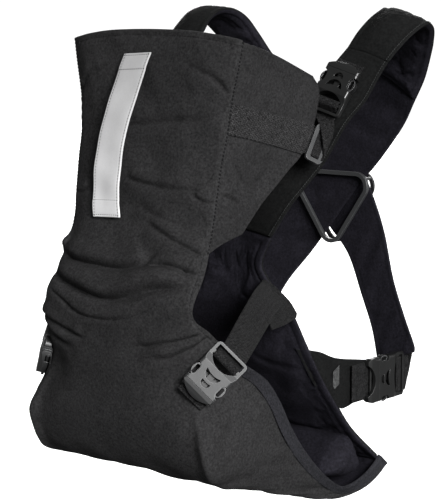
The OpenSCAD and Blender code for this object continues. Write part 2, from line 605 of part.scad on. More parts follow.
front_panel();
side_panel_left();
side_panel_right();
head_pad();
head_stiffener();
seat_panel();
leg_binding_left();
leg_binding_right();
inner_panel();
inner_foam();
base_roll();
waist_wing_left();
waist_wing_right();
hip_webbing();
hip_tabs();
chest_strap_left();
chest_strap_right();
shoulder_strap_left();
shoulder_strap_right();
shoulder_foam();
back_strap_left();
back_strap_right();
back_ring();
back_ring_cover();
head_band_left();
head_band_right();
head_loop_left();
head_loop_right();
head_webbing_left();
head_webbing_right();
head_tabs();
seat_webbing_left();
seat_webbing_right();
seat_tabs();
reflective_strap();
care_label();
seat_female_left();
seat_male_left();
seat_front_arm_left();
seat_rear_arm_left();
seat_female_right();
seat_male_right();
seat_front_arm_right();
seat_rear_arm_right();
head_female_left();
head_male_left();
head_inner_arm_left();
head_outer_arm_left();
head_female_right();
head_male_right();
head_inner_arm_right();
head_outer_arm_right();
hip_female_left();
hip_male_left();
hip_upper_arm_left();
hip_lower_arm_left();
hip_female_right();
hip_male_right();
hip_upper_arm_right();
hip_lower_arm_right();
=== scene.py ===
import math
import bpy
import numpy as np
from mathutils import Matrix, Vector


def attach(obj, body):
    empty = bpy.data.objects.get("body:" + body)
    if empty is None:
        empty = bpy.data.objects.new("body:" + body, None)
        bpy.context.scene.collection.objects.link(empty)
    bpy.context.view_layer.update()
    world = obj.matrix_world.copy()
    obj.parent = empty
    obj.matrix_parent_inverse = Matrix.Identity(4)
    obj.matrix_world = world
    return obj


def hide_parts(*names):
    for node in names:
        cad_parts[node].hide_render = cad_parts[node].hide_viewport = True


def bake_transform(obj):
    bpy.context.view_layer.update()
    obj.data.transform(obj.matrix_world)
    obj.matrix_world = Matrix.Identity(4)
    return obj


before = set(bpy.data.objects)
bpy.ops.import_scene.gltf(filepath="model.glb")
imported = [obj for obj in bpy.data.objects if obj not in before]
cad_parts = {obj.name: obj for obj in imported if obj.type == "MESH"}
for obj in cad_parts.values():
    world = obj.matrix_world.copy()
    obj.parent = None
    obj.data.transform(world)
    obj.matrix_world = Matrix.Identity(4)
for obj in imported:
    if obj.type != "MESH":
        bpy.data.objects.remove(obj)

scene = bpy.context.scene
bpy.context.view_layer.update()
MM = 0.001

# ---------------------------------------------------------------- camera
AZIMUTH, ELEVATION, DISTANCE = math.radians(40), math.radians(8), 1.8
AIM = Vector((0, -0.0275, 0.025))
LENS = 139.9
back_way = Vector((math.sin(AZIMUTH) * math.cos(ELEVATION), -math.cos(AZIMUTH) * math.cos(ELEVATION),
                   math.sin(ELEVATION)))
eye_data = bpy.data.cameras.new("studio_camera")
eye_data.sensor_fit = "HORIZONTAL"
eye_data.sensor_width = 36
eye_data.lens = LENS
eye = bpy.data.objects.new("studio_camera", eye_data)
eye.location = AIM + DISTANCE * back_way
eye.rotation_euler = back_way.to_track_quat("Z", "Y").to_euler()
scene.collection.objects.link(eye)
scene.camera = eye

# ---------------------------------------------------------------- smooth surfaces


def spread(rows, n):
    """a smooth curve through the given rows, at n even steps or at the shares of its length given as an array"""
    p = np.asarray(rows, float)
    p = np.concatenate([2 * p[:1] - p[1:2], p, 2 * p[-1:] - p[-2:-1]])
    t = (np.linspace(0, 1, n) if isinstance(n, int) else n) * (len(p) - 3)
    i = np.minimum(t.astype(int), len(p) - 4)
    f = (t - i).reshape(-1, *[1] * (p.ndim - 1))
    a, b, c, d = p[i], p[i + 1], p[i + 2], p[i + 3]
    return 0.5 * (2 * b + (c - a) * f + (2 * a - 5 * b + 4 * c - d) * f * f + (3 * b - a - 3 * c + d) * f ** 3)


def surface(rows, nu, nv):
    """a smooth grid of nu by nv points, in metres, through rows of points in millimetres"""
    g = spread(np.array(rows, float) * MM, nu)
    return np.swapaxes(spread(np.swapaxes(g, 0, 1), nv), 0, 1)


def mirrored(rows):
    return [[[-p[0], p[1], p[2]] for p in row[::-1]] for row in rows]


def unit(v):
    return v / np.maximum(np.linalg.norm(v, axis=-1, keepdims=True), 1e-12)


def normals(g):
    return unit(np.cross(np.gradient(g, axis=0), np.gradient(g, axis=1)))


def arcs(g):
    """how far along its row and down its column each point lies, in metres"""
    across, down = np.zeros(g.shape[:2]), np.zeros(g.shape[:2])
    across[:, 1:] = np.cumsum(np.linalg.norm(np.diff(g, axis=1), axis=2), axis=1)
    down[1:] = np.cumsum(np.linalg.norm(np.diff(g, axis=0), axis=2), axis=0)
    return across, down


def from_edge(g, ends=True):
    across, down = arcs(g)
    d = np.minimum(across, across[:, -1:] - across)
    return np.minimum(d, np.minimum(down, down[-1:] - down)) if ends else d


def bell(d, centre, half):
    return np.exp(-((d - centre) / half) ** 2)


def crown(d, width):
    """rises from 0 at an edge to 1 at width from it, as stuffed cloth does"""
    x = np.clip(d / width, 0, 1)
    return np.sqrt(np.maximum(1 - (1 - x) ** 2, 0))


def ripple(g, size, height, seed, along=None, waves=26):
    """the gentle unevenness of sewn cloth: waves about size long, running any way or mostly along one angle"""
    across, down = arcs(g)
    rng = np.random.default_rng(seed)
    out = np.zeros(across.shape)
    for _ in range(waves):
        turn = rng.uniform(0, math.pi) if along is None else math.radians(along) + rng.normal(0, 0.3)
        k = 2 * math.pi / (size * rng.uniform(0.6, 1.7))
        out += np.sin(k * (across * math.cos(turn) + down * math.sin(turn)) + rng.uniform(0, 6.28))
    return height * out / math.sqrt(waves)


def near_line(g, points):
    """for every point of a grid: its distance from a line over the grid, on which side it lies (left is plus),
    and how far along the line. The line is given as shares across and down."""
    side_way = normals(g).reshape(-1, 3)
    flat = g.reshape(-1, 3)
    p = spread(points, 5 * len(points))
    i = p[:, 1] * (g.shape[0] - 1)
    j = p[:, 0] * (g.shape[1] - 1)
    i0 = np.clip(i.astype(int), 0, g.shape[0] - 2)
    j0 = np.clip(j.astype(int), 0, g.shape[1] - 2)
    fi, fj = (i - i0)[:, None], (j - j0)[:, None]
    path = ((1 - fi) * (1 - fj) * g[i0, j0] + fi * (1 - fj) * g[i0 + 1, j0]
            + (1 - fi) * fj * g[i0, j0 + 1] + fi * fj * g[i0 + 1, j0 + 1])
    best, signed, share = np.full(len(flat), 9.0), np.zeros(len(flat)), np.zeros(len(flat))
    for k in range(len(path) - 1):
        seg = path[k + 1] - path[k]
        t = np.clip((flat - path[k]) @ seg / max(seg @ seg, 1e-12), 0, 1)
        off = flat - path[k] - t[:, None] * seg
        d = np.linalg.norm(off, axis=1)
        near = d < best
        best[near] = d[near]
        signed[near] = np.where(np.einsum("ij,ij->i", np.cross(seg, off), side_way) > 0, d, -d)[near]
        share[near] = ((k + t) / (len(path) - 1))[near]
    length = float(np.linalg.norm(np.diff(path, axis=0), axis=1).sum())
    return best, signed, share, length


def folds(g, lines):
    """Height of creases over a grid. Each line is (height, half width, lean, points): millimetres, millimetres,
    how far the fullness laps over from the left of the line rather than from its right (-1 to 1), and points as
    shares across and down. A negative height is a soft valley only."""
    out = np.zeros(g.shape[:2])
    for height, half, lean, points in lines:
        d, signed, share, length = near_line(g, points)
        taper = np.clip(np.sin(math.pi * np.clip(share, 0.02, 0.98)) * 1.6, 0, 1)
        w = half * MM
        if height > 0:
            lap = (1 - np.exp(-d / (0.22 * w))) * np.exp(-(d / (1.9 * w)) ** 2)
            rest = (1 - np.exp(-d / (0.7 * w))) * np.exp(-((d - 1.1 * w) / (1.3 * w)) ** 2)
            over, below = (1 + lean) / 2, (1 - lean) / 2
            shape = np.where(signed > 0, over * lap + 0.3 * below * rest, below * lap + 0.3 * over * rest)
            shape -= 0.42 * np.exp(-(d / (0.42 * w)) ** 2)
        else:
            shape = np.exp(-(d / w) ** 2)
        out += (height * MM * taper * shape).reshape(out.shape)
    return out


def puckers(g, points, pitch, height, reach, seed):
    """the small gathers across a seam that draws the cloth in, all in millimetres"""
    d, signed, share, length = near_line(g, points)
    rng = np.random.default_rng(seed)
    s = share * length / (pitch * MM)
    wobble = sum(np.sin(k * s / 3.7 + rng.uniform(0, 6.28)) for k in (1, 2.3, 3.1))
    wave_height = (0.55 + 0.45 * np.sin(s * 0.9 + rng.uniform(0, 6.28))) * np.sin(6.28 * s + wobble)
    taper = np.clip(np.sin(math.pi * np.clip(share, 0.02, 0.98)) * 4, 0, 1)
    return (height * MM * wave_height * np.exp(-d / (reach * MM)) * taper).reshape(g.shape[:2])


def round_corners(g, radius, top=True, bottom=False):
    """draws the grid's corners in to a round of the given radius, in millimetres"""
    r = radius * MM
    across, down = arcs(g)
    gu, gv = unit(np.gradient(g, axis=1)), unit(np.gradient(g, axis=0))
    out = g.copy()
    for end in [e for e, wanted in (("top", top), ("bottom", bottom)) if wanted]:
        b = down if end == "top" else down[-1:] - down
        for side in (1, -1):
            a = across if side == 1 else across[:, -1:] - across
            p, q = np.clip(1 - a / r, 0, 1), np.clip(1 - b / r, 0, 1)
            da = r * (p - p * np.sqrt(1 - q * q / 2))
            db = r * (q - q * np.sqrt(1 - p * p / 2))
            out += gu * (side * da)[..., None] + gv * ((1 if end == "top" else -1) * db)[..., None]
    return out


# ---------------------------------------------------------------- cloth meshes


def shell(name, g, top, under, materials, roll=0.5, inner=0, edge=0):
    """A closed piece of cloth over a grid: its face at top and its back at under along the normals, with rounded
    edges. Its UV map is in metres, across and down. inner and edge are the material slots of back and edges."""
    nu, nv = g.shape[:2]
    n = normals(g)
    top, under = np.broadcast_to(top, (nu, nv)), np.broadcast_to(under, (nu, nv))
    face, rear = g + n * top[..., None], g + n * under[..., None]
    ring = ([(0, j) for j in range(nv)] + [(i, nv - 1) for i in range(1, nu)]
            + [(nu - 1, j) for j in range(nv - 2, -1, -1)] + [(i, 0) for i in range(nu - 2, 0, -1)])
    ri, rj = np.array(ring).T
    inward = (np.clip(ri, 1, nu - 2), np.clip(rj, 1, nv - 2))
    out_way = unit(g[ri, rj] - g[inward])
    roll = np.broadcast_to(roll, (nu, nv))[ri, rj]
    middle = (face[ri, rj] + rear[ri, rj]) / 2 + out_way * (roll * (top - under)[ri, rj] / 2)[:, None]
    points = np.concatenate([face.reshape(-1, 3), rear.reshape(-1, 3), middle])
    across, down = arcs(g)
    u = (across - across[:, nv // 2][:, None]).ravel()
    v = np.broadcast_to(down.mean(axis=1)[:, None], (nu, nv)).ravel()
    flat = np.stack([np.concatenate([u, u, u[ri * nv + rj]]), np.concatenate([v, v, v[ri * nv + rj]])], axis=1)
    ids = np.arange(nu * nv).reshape(nu, nv)
    a, b, c, d = ids[:-1, :-1].ravel(), ids[1:, :-1].ravel(), ids[1:, 1:].ravel(), ids[:-1, 1:].ravel()
    faces = np.stack([a, b, c, d], axis=1)
    rears = np.stack([d, c, b, a], axis=1) + nu * nv
    e0 = ri * nv + rj
    e1 = np.roll(e0, -1)
    m0 = np.arange(len(e0)) + 2 * nu * nv
    m1 = np.roll(m0, -1)
    upper = np.stack([e0, e1, m1, m0], axis=1)
    lower = np.stack([m0, m1, e1 + nu * nv, e0 + nu * nv], axis=1)
    every = np.concatenate([faces, rears, upper, lower])
    mesh = bpy.data.meshes.new(name)
    mesh.from_pydata(points.tolist(), [], every.tolist())
    layer = mesh.uv_layers.new(name="cut")
    layer.data.foreach_set("uv", flat[every.ravel()].astype(np.float32).ravel())
    slots = np.concatenate([np.zeros(len(faces)), np.full(len(rears), inner),
                            np.full(len(upper) + len(lower), edge)]).astype(np.int32)
    mesh.polygons.foreach_set("material_index", slots)
    mesh.polygons.foreach_set("use_smooth", np.ones(len(every), bool))
    for m in materials if isinstance(materials, (list, tuple)) else [materials]:
        mesh.materials.append(m)
    mesh.update()
    piece = bpy.data.objects.new(name, mesh)
    scene.collection.objects.link(piece)
    return piece


def stuff(piece, loose, pressure=4.0, cap=3.0, grow=0.02, frames=20):
    """Swells a stuffed piece by cloth simulation. loose is a grid from 0, held by a seam, to 1, free.
    No point moves further than cap, in millimetres."""
    mesh = piece.data
    count = len(mesh.vertices)
    start = np.zeros(count * 3)
    mesh.vertices.foreach_get("co", start)
    start = start.reshape(-1, 3)
    side = loose.size
    hold = np.ones(count)
    hold[:side] = hold[side:2 * side] = 1 - loose.ravel()
    group = piece.vertex_groups.new(name="seams")
    for level in np.unique(np.round(hold, 1)):
        group.add(np.nonzero(np.round(hold, 1) == level)[0].tolist(), float(level), "REPLACE")
    cloth = piece.modifiers.new("stuffing", "CLOTH")
    s = cloth.settings
    s.quality = 4
    s.mass = 0.15
    s.tension_stiffness = s.compression_stiffness = 12
    s.bending_stiffness = 0.6
    s.air_damping = 2
    s.use_pressure = True
    s.uniform_pressure_force = pressure
    s.shrink_min = -grow
    s.effector_weights.gravity = 0
    s.vertex_group_mass = "seams"
    s.pin_stiffness = 2
    cloth.collision_settings.use_collision = False
    cloth.point_cache.frame_start, cloth.point_cache.frame_end = 1, frames
    for step in range(1, frames + 1):
        scene.frame_set(step)
    held = piece.evaluated_get(bpy.context.evaluated_depsgraph_get())
    end = np.zeros(count * 3)
    held.data.vertices.foreach_get("co", end)
    move = end.reshape(-1, 3) - start
    size = np.linalg.norm(move, axis=1, keepdims=True)
    move *= np.minimum(1, cap * MM / np.maximum(size, 1e-9))
    piece.modifiers.remove(cloth)
    piece.vertex_groups.clear()
    scene.frame_set(1)
    mesh.vertices.foreach_set("co", (start + move).ravel())
    mesh.update()


def thread_line(paths, pitch=3.4, size=2.5, radius=0.32):
    """points and faces of the small stitches along paths of (points, normals), each a short rounded capsule"""
    points, faces = [], []
    sides = 6
    ends = [(-0.5, 0.25), (-0.36, 1), (0.36, 1), (0.5, 0.25)]
    for p, n in paths:
        length = np.concatenate([[0], np.cumsum(np.linalg.norm(np.diff(p, axis=0), axis=1))])
        count = int(length[-1] / (pitch * MM))
        if count < 2:
            continue
        at = (np.arange(count) + 0.5) * length[-1] / count
        centre = np.stack([np.interp(at, length, p[:, k]) for k in range(3)], axis=1)
        up = unit(np.stack([np.interp(at, length, n[:, k]) for k in range(3)], axis=1))
        ahead = np.stack([np.interp(at + 0.0005, length, p[:, k]) for k in range(3)], axis=1)
        behind = np.stack([np.interp(at - 0.0005, length, p[:, k]) for k in range(3)], axis=1)
        way = unit(ahead - behind)
        side = unit(np.cross(up, way))
        for c, u, w, s in zip(centre, up, way, side):
            first = len(points)
            for shift, share in ends:
                for k in range(sides):
                    a = 2 * math.pi * k / sides
                    points.append(c + w * shift * size * MM
                                  + (s * math.cos(a) + u * math.sin(a)) * radius * share * MM)
            for r in range(3):
                for k in range(sides):
                    q = (k + 1) % sides
                    base = first + r * sides
                    faces.append([base + k, base + sides + k, base + sides + q, base + q])
            faces.append([first + k for k in range(sides)])
            faces.append([first + 3 * sides + k for k in reversed(range(sides))])
    return points, faces


def sewn(name, paths, material, **kind):
    points, faces = thread_line(paths, **kind)
    mesh = bpy.data.meshes.new(name)
    mesh.from_pydata([tuple(p) for p in points], [], faces)
    mesh.polygons.foreach_set("use_smooth", np.ones(len(faces), bool))
    mesh.materials.append(material)
    mesh.update()
    piece = bpy.data.objects.new(name, mesh)
    scene.collection.objects.link(piece)
    return piece


def inset_line(g, lift, d, side, first=0.0, last=1.0):
    """the line at distance d (mm) from one edge of a grid, with its normals, for stitching"""
    n = normals(g)
    face = g + n * np.broadcast_to(lift, g.shape[:2])[..., None]
    if side in ("top", "bottom"):
        face, n = np.swapaxes(face, 0, 1), np.swapaxes(n, 0, 1)
    if side in ("right", "bottom"):
        face, n = face[:, ::-1], n[:, ::-1]
    length = np.concatenate([np.zeros((len(face), 1)),
                             np.cumsum(np.linalg.norm(np.diff(face, axis=1), axis=2), axis=1)], axis=1)
    k = np.array([np.interp(d * MM, row, np.arange(len(row))) for row in length])
    i0 = np.clip(k.astype(int), 0, face.shape[1] - 2)
    f = (k - i0)[:, None]
    r = np.arange(len(face))
    p = (1 - f) * face[r, i0] + f * face[r, i0 + 1]
    m = unit((1 - f) * n[r, i0] + f * n[r, i0 + 1])
    a, b = int(first * (len(p) - 1)), int(round(last * (len(p) - 1))) + 1
    return p[a:b], m[a:b]


def grid_line(g, lift, points, steps=60):
    """a line over a grid through points given as shares across and down, with its normals, for stitching"""
    n = normals(g)
    face = g + n * np.broadcast_to(lift, g.shape[:2])[..., None]
    p = spread(points, steps)
    i, j = np.clip(p[:, 1], 0, 1) * (g.shape[0] - 1), np.clip(p[:, 0], 0, 1) * (g.shape[1] - 1)
    i0, j0 = np.clip(i.astype(int), 0, g.shape[0] - 2), np.clip(j.astype(int), 0, g.shape[1] - 2)
    fi, fj = (i - i0)[:, None], (j - j0)[:, None]

    def between(a):
        return ((1 - fi) * (1 - fj) * a[i0, j0] + fi * (1 - fj) * a[i0 + 1, j0]
                + (1 - fi) * fj * a[i0, j0 + 1] + fi * fj * a[i0 + 1, j0 + 1])
    return between(face), unit(between(n))


def cut_size(g):
    """the flat width and length of a grid of cloth, and its area"""
    across, down = arcs(g)
    cell = np.linalg.norm(np.cross(g[1:, 1:] - g[:-1, :-1], g[1:, :-1] - g[:-1, 1:]), axis=2) / 2
    width, length = float(across[:, -1].max()), float(down[-1].max())
    return (width, length), float(cell.sum())


def declare_sheet(piece, g):
    flat, area = cut_size(g)
    print("flat size", piece.name, [round(1000 * x) for x in flat], "area", round(area, 4))


# ---------------------------------------------------------------- finishes


class Finish:
    """one material: its node tree and short ways to add to it"""

    def __init__(self, name, colour, roughness, specular=0.5):
        self.material = bpy.data.materials.new(name)
        self.material.use_nodes = True
        self.tree = self.material.node_tree
        self.shader = self.tree.nodes["Principled BSDF"]
        self.shader.inputs["Base Color"].default_value = (*colour, 1)
        self.shader.inputs["Roughness"].default_value = roughness
        self.shader.inputs["Specular IOR Level"].default_value = specular
        self.colour = colour

    def add(self, kind, links=None, **settings):
        node = self.tree.nodes.new(kind)
        for key, value in settings.items():
            setattr(node, key, value)
        for key, source in (links or {}).items():
            self.tree.links.new(source, node.inputs[key])
        return node

    def maths(self, operation, a, b=None, c=None):
        node = self.add("ShaderNodeMath", operation=operation)
        for k, value in enumerate((a, b, c)):
            if value is None:
                continue
            if isinstance(value, (int, float)):
                node.inputs[k].default_value = value
            else:
                self.tree.links.new(value, node.inputs[k])
        return node.outputs[0]

    def place(self):
        return self.add("ShaderNodeTexCoord").outputs["Object"]

    def cut(self):
        split = self.add("ShaderNodeSeparateXYZ", {0: self.add("ShaderNodeUVMap", uv_map="cut").outputs[0]})
        return split.outputs[0], split.outputs[1]

    def noise(self, scale, detail=2.0, rough=0.5, source=None):
        node = self.add("ShaderNodeTexNoise", {"Vector": source or self.place()})
        node.inputs["Scale"].default_value = scale
        node.inputs["Detail"].default_value = detail
        node.inputs["Roughness"].default_value = rough
        return node.outputs["Fac"]

    def tint(self, factor, low, high, base=None):
        """the base colour varied between low and high times its own value"""
        c = base or self.colour
        ramp = self.add("ShaderNodeMix", data_type="RGBA")
        self.tree.links.new(factor, ramp.inputs[0])
        ramp.inputs[6].default_value = (*[min(1, x * low) for x in c], 1)
        ramp.inputs[7].default_value = (*[min(1, x * high) for x in c], 1)
        return ramp.outputs[2]

    def blend_colours(self, factor, a, b, mode="MIX"):
        mix = self.add("ShaderNodeMix", data_type="RGBA", blend_type=mode)
        for k, value in ((0, factor), (6, a), (7, b)):
            if isinstance(value, (int, float)):
                mix.inputs[k].default_value = value
            elif isinstance(value, tuple):
                mix.inputs[k].default_value = (*value, 1)
            else:
                self.tree.links.new(value, mix.inputs[k])
        return mix.outputs[2]

    def span(self, value, low, high):
        node = self.add("ShaderNodeMapRange", {0: value})
        node.inputs[3].default_value, node.inputs[4].default_value = low, high
        return node.outputs[0]

    def colour_from(self, source):
        self.tree.links.new(source, self.shader.inputs["Base Color"])

    def roughness_from(self, source):
        self.tree.links.new(source, self.shader.inputs["Roughness"])

    def bump(self, height, distance, strength=1.0, over=None):
        node = self.add("ShaderNodeBump", {"Height": height})
        node.inputs["Strength"].default_value = strength
        node.inputs["Distance"].default_value = distance * MM
        if over is not None:
            self.tree.links.new(over, node.inputs["Normal"])
        self.tree.links.new(node.outputs[0], self.shader.inputs["Normal"])
        return node.outputs[0]


def wave(f, value, pitch, shift=0.0):
    """a sine along a length in metres, with the pitch in millimetres"""
    return f.maths("SINE", f.maths("MULTIPLY_ADD", value, 2 * math.pi / (pitch * MM), shift))


def woven(name, colour, roughness=0.95, pitch=0.9, depth=0.12, mottle=(0.8, 1.22), grain=0.8, crumple=0.0):
    """matt woven cloth: threads over and under, slubs, slight fading, and for a thin lining a crumpled face"""
    f = Finish(name, colour, roughness, specular=0.08)
    u, v = f.cut()
    weave = f.maths("MULTIPLY", wave(f, u, pitch), wave(f, v, pitch))
    fibres = f.noise(1400, 3)
    cloth = f.tint(f.noise(28, 4, 0.6), mottle[0], mottle[1])
    slub = f.span(f.noise(430, 4, 0.75), 1 - 2 * grain, 1 + 2 * grain)
    threads = f.span(f.maths("MULTIPLY_ADD", weave, 0.5, 0.5), 0.8, 1.16)
    shade = f.maths("MULTIPLY", threads, slub)
    if crumple:
        shade = f.maths("MULTIPLY", shade, f.span(f.noise(75, 4, 0.65), 1 - 2.2 * crumple, 1 + 2.2 * crumple))
    grey = f.add("ShaderNodeCombineXYZ", {0: shade, 1: shade, 2: shade}).outputs[0]
    f.colour_from(f.blend_colours(1.0, cloth, grey, "MULTIPLY"))
    f.roughness_from(f.span(fibres, roughness - 0.06, min(1.0, roughness + 0.05)))
    over = f.bump(f.noise(60, 4, 0.6), 2.2 * crumple, 1.0) if crumple else None
    f.bump(f.maths("MULTIPLY_ADD", fibres, 0.6, weave), depth, 0.8, over=over)
    return f.material


def ribbed(name, colour, roughness=0.85, rib=1.6, stripe=7.0, light=1.5, grain=1.0):
    """narrow webbing: a herringbone of fine ribs in bands along its length"""
    f = Finish(name, colour, roughness, specular=0.12)
    u, v = f.cut()
    zigzag = f.maths("PINGPONG", u, stripe * MM / 2)
    ribs = wave(f, f.maths("ADD", v, zigzag), rib)
    edge = f.span(f.maths("MULTIPLY_ADD", ribs, 0.5, 0.5), 1 / light, light)
    fibres = f.noise(520, 3, 0.75)
    cloth = f.tint(f.noise(60, 3), 0.85, 1.15)
    shade = f.maths("MULTIPLY", edge, f.span(fibres, 1 - 2 * grain, 1 + 2 * grain))
    grey = f.add("ShaderNodeCombineXYZ", {0: shade, 1: shade, 2: shade}).outputs[0]
    f.colour_from(f.blend_colours(1.0, cloth, grey, "MULTIPLY"))
    f.roughness_from(f.span(fibres, roughness - 0.08, min(1.0, roughness + 0.08)))
    f.bump(f.maths("MULTIPLY_ADD", fibres, 0.4, ribs), 0.2, 0.9)
    return f.material


def moulded(name, colour, roughness=0.36, grain=0.05, specular=0.5, edge=None, painted_shade=None):
    """moulded plastic with a fine eroded grain, faint flow marks, and edges rounded and, where edge gives a colour,
    lit with a painted highlight along the rounded edges. The last argument gives a point and a way beyond which the
    part lies inside a housing, where its colour is darkened as painted shade."""
    f = Finish(name, colour, roughness, specular=specular)
    marks = f.noise(35, 4, 0.6)
    fine = f.noise(1800, 2)
    rounded = f.add("ShaderNodeBevel")
    rounded.inputs["Radius"].default_value = 0.7 * MM
    body = f.tint(marks, 0.85, 1.2)
    if edge:
        # painted highlight: the edge colour is mixed in where the rounded normal turns away from the flat one
        flat = f.add("ShaderNodeNewGeometry")
        turned = f.add("ShaderNodeVectorMath", {0: rounded.outputs[0], 1: flat.outputs["Normal"]},
                       operation="DOT_PRODUCT")
        brightening = f.maths("MULTIPLY", f.maths("SUBTRACT", 1.0, turned.outputs["Value"]), f.span(marks, 5.0, 14.0))
        brightening.node.use_clamp = True
        body = f.blend_colours(brightening, body, edge)
    # painted shade: beyond the plane the colour is darkened to a quarter, where the part lies inside a housing
    if painted_shade:
        point, way = painted_shade
        depth = 0.0
        for k, axis in enumerate("XYZ"):
            place = f.add("ShaderNodeSeparateXYZ", {0: f.place()}).outputs[axis]
            place = f.maths("ABSOLUTE", place) if axis == "X" else place
            depth = f.maths("MULTIPLY_ADD", f.maths("SUBTRACT", place, point[k]), way[k], depth)
        inside = f.maths("MULTIPLY", depth, 1000.0)
        inside.node.use_clamp = True
        body = f.blend_colours(inside, body, tuple(0.25 * c for c in colour))
    f.colour_from(body)
    rubbed = f.maths("MULTIPLY", marks, f.span(fine, 0.8, 1.2))
    f.roughness_from(f.span(rubbed, roughness - 0.08, roughness + 0.14))
    f.bump(fine, grain, 0.5, over=rounded.outputs[0])
    return f.material


def foam(name, colour):
    f = Finish(name, colour, 0.95, specular=0.2)
    cells = f.add("ShaderNodeTexVoronoi", {"Vector": f.place()})
    cells.inputs["Scale"].default_value = 700
    f.colour_from(f.tint(cells.outputs["Distance"], 0.8, 1.1))
    f.bump(cells.outputs["Distance"], 0.3, 0.6)
    return f.material


def glass_bead(name):
    """silver cloth faced with glass beads: pale, faintly sparkling and slightly creased"""
    f = Finish(name, (0.50, 0.498, 0.502), 0.5, specular=0.35)
    beads = f.add("ShaderNodeTexVoronoi", {"Vector": f.place()})
    beads.inputs["Scale"].default_value = 1600
    rubbed = f.noise(45, 4, 0.65)
    silver = f.tint(rubbed, 0.86, 1.08)
    brightening = f.maths("MULTIPLY_ADD", f.cut()[1], 3.4, 0.84)          # colour darker at its top and paler towards its lower end
    shade = f.maths("MULTIPLY", brightening, f.span(beads.outputs["Distance"], 1.05, 0.86))
    grey = f.add("ShaderNodeCombineXYZ", {0: shade, 1: shade, 2: shade}).outputs[0]
    f.colour_from(f.blend_colours(1.0, silver, grey, "MULTIPLY"))
    f.roughness_from(f.span(rubbed, 0.42, 0.62))
    f.bump(beads.outputs["Distance"], 0.06, 0.5)
    return f.material


OUTER = woven("outer_cloth", (0.0212, 0.0210, 0.0215))
SIDE = woven("side_cloth", (0.0193, 0.0191, 0.0196))
PAD = woven("strap_face_cloth", (0.0062, 0.0064, 0.0064), pitch=1.1)
LINING = woven("smooth_lining", (0.0100, 0.0094, 0.0130), roughness=0.8, pitch=0.6, depth=0.05, crumple=0.22)
TAPE = ribbed("binding_tape", (0.0200, 0.0200, 0.0235), rib=1.2, stripe=400, light=1.15)
WEBBING = ribbed("nylon_webbing", (0.0088, 0.0088, 0.0090), rib=2.2, stripe=6.0, light=1.6, grain=1.6)
HERRINGBONE = ribbed("herringbone_band", (0.0162, 0.0161, 0.0164), rib=2.6, stripe=5.2, light=1.7, grain=1.3)
SILVER = glass_bead("reflective_cloth")
THREAD = woven("sewing_thread", (0.0075, 0.0075, 0.0080), roughness=0.8)
PALE_THREAD = woven("strap_edge_thread", (0.045, 0.047, 0.046), roughness=0.8)
LABEL = woven("satin_label", (0.055, 0.056, 0.056), roughness=0.6, pitch=0.5)
# the edge colours below are painted highlights along the rounded edges of the plastics
GREY_PLASTIC = moulded("grey_buckle_plastic", (0.0175, 0.0180, 0.0186), roughness=0.45, edge=(0.26, 0.26, 0.265))
# the seat buckle's male half: its tongue is darkened as painted shade where it lies inside the housing
CAP_PLASTIC = moulded("buckle_cap_plastic", (0.0150, 0.0154, 0.0158), roughness=0.45, edge=(0.05, 0.05, 0.051),
                      painted_shade=((0.1053, -0.1841, -0.0820), (0.400, 0.620, 0.675)))
BLACK_PLASTIC = moulded("black_buckle_plastic", (0.0068, 0.0070, 0.0070), roughness=0.30,
                        edge=(0.018, 0.018, 0.018))
# the locking arms are coloured near black as painted shade for the buckle windows they sit in
ARM_PLASTIC = moulded("locking_arm_plastic", (0.0060, 0.0062, 0.0064), roughness=0.36, edge=(0.15, 0.15, 0.155))
RING_PLASTIC = moulded("back_ring_plastic", (0.030, 0.031, 0.032), roughness=0.35, edge=(0.12, 0.12, 0.125))
COVER_PLASTIC = moulded("ring_cover_plastic", (0.008, 0.008, 0.009), roughness=0.5)
LOOP_PLASTIC = moulded("loop_plastic", (0.028, 0.029, 0.030), roughness=0.28, edge=(0.12, 0.12, 0.125))
FOAM = foam("pad_foam", (0.62, 0.62, 0.56))

for node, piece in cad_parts.items():
    if "foam" in node or "stiffener" in node:
        finish = FOAM
    elif "_arm_" in node:
        finish = ARM_PLASTIC
    elif node.startswith("seat_male"):
        finish = CAP_PLASTIC
    elif node.startswith("seat_"):
        finish = GREY_PLASTIC
    elif node == "back_ring":
        finish = RING_PLASTIC
    elif node == "back_ring_cover":
        finish = COVER_PLASTIC
    elif "loop" in node:
        finish = LOOP_PLASTIC
    else:
        finish = BLACK_PLASTIC
    for slot in piece.material_slots:
        slot.material = finish

# ---------------------------------------------------------------- the outer panel and seat, one cloth
HALF = (0, 0.45, 0.75, 0.9, 0.96, 1)


def whole(row):
    return [[-x, y, z] for x, y, z in row[:0:-1]] + row


def front_row(zc, ze, hw, yc, ye):
    return whole([[f * hw, yc + f ** 4.4 * (ye - yc), zc + f ** 2.7 * (ze - zc)] for f in HALF])


def seat_row(c, k, e):
    return whole([c, [0.52 * k[0], c[1] + 0.15 * (k[1] - c[1]), c[2] + 0.2 * (k[2] - c[2])],
                  [0.86 * k[0], c[1] + 0.55 * (k[1] - c[1]), c[2] + 0.7 * (k[2] - c[2])],
                  k, [0.5 * (k[i] + e[i]) for i in range(3)], e])


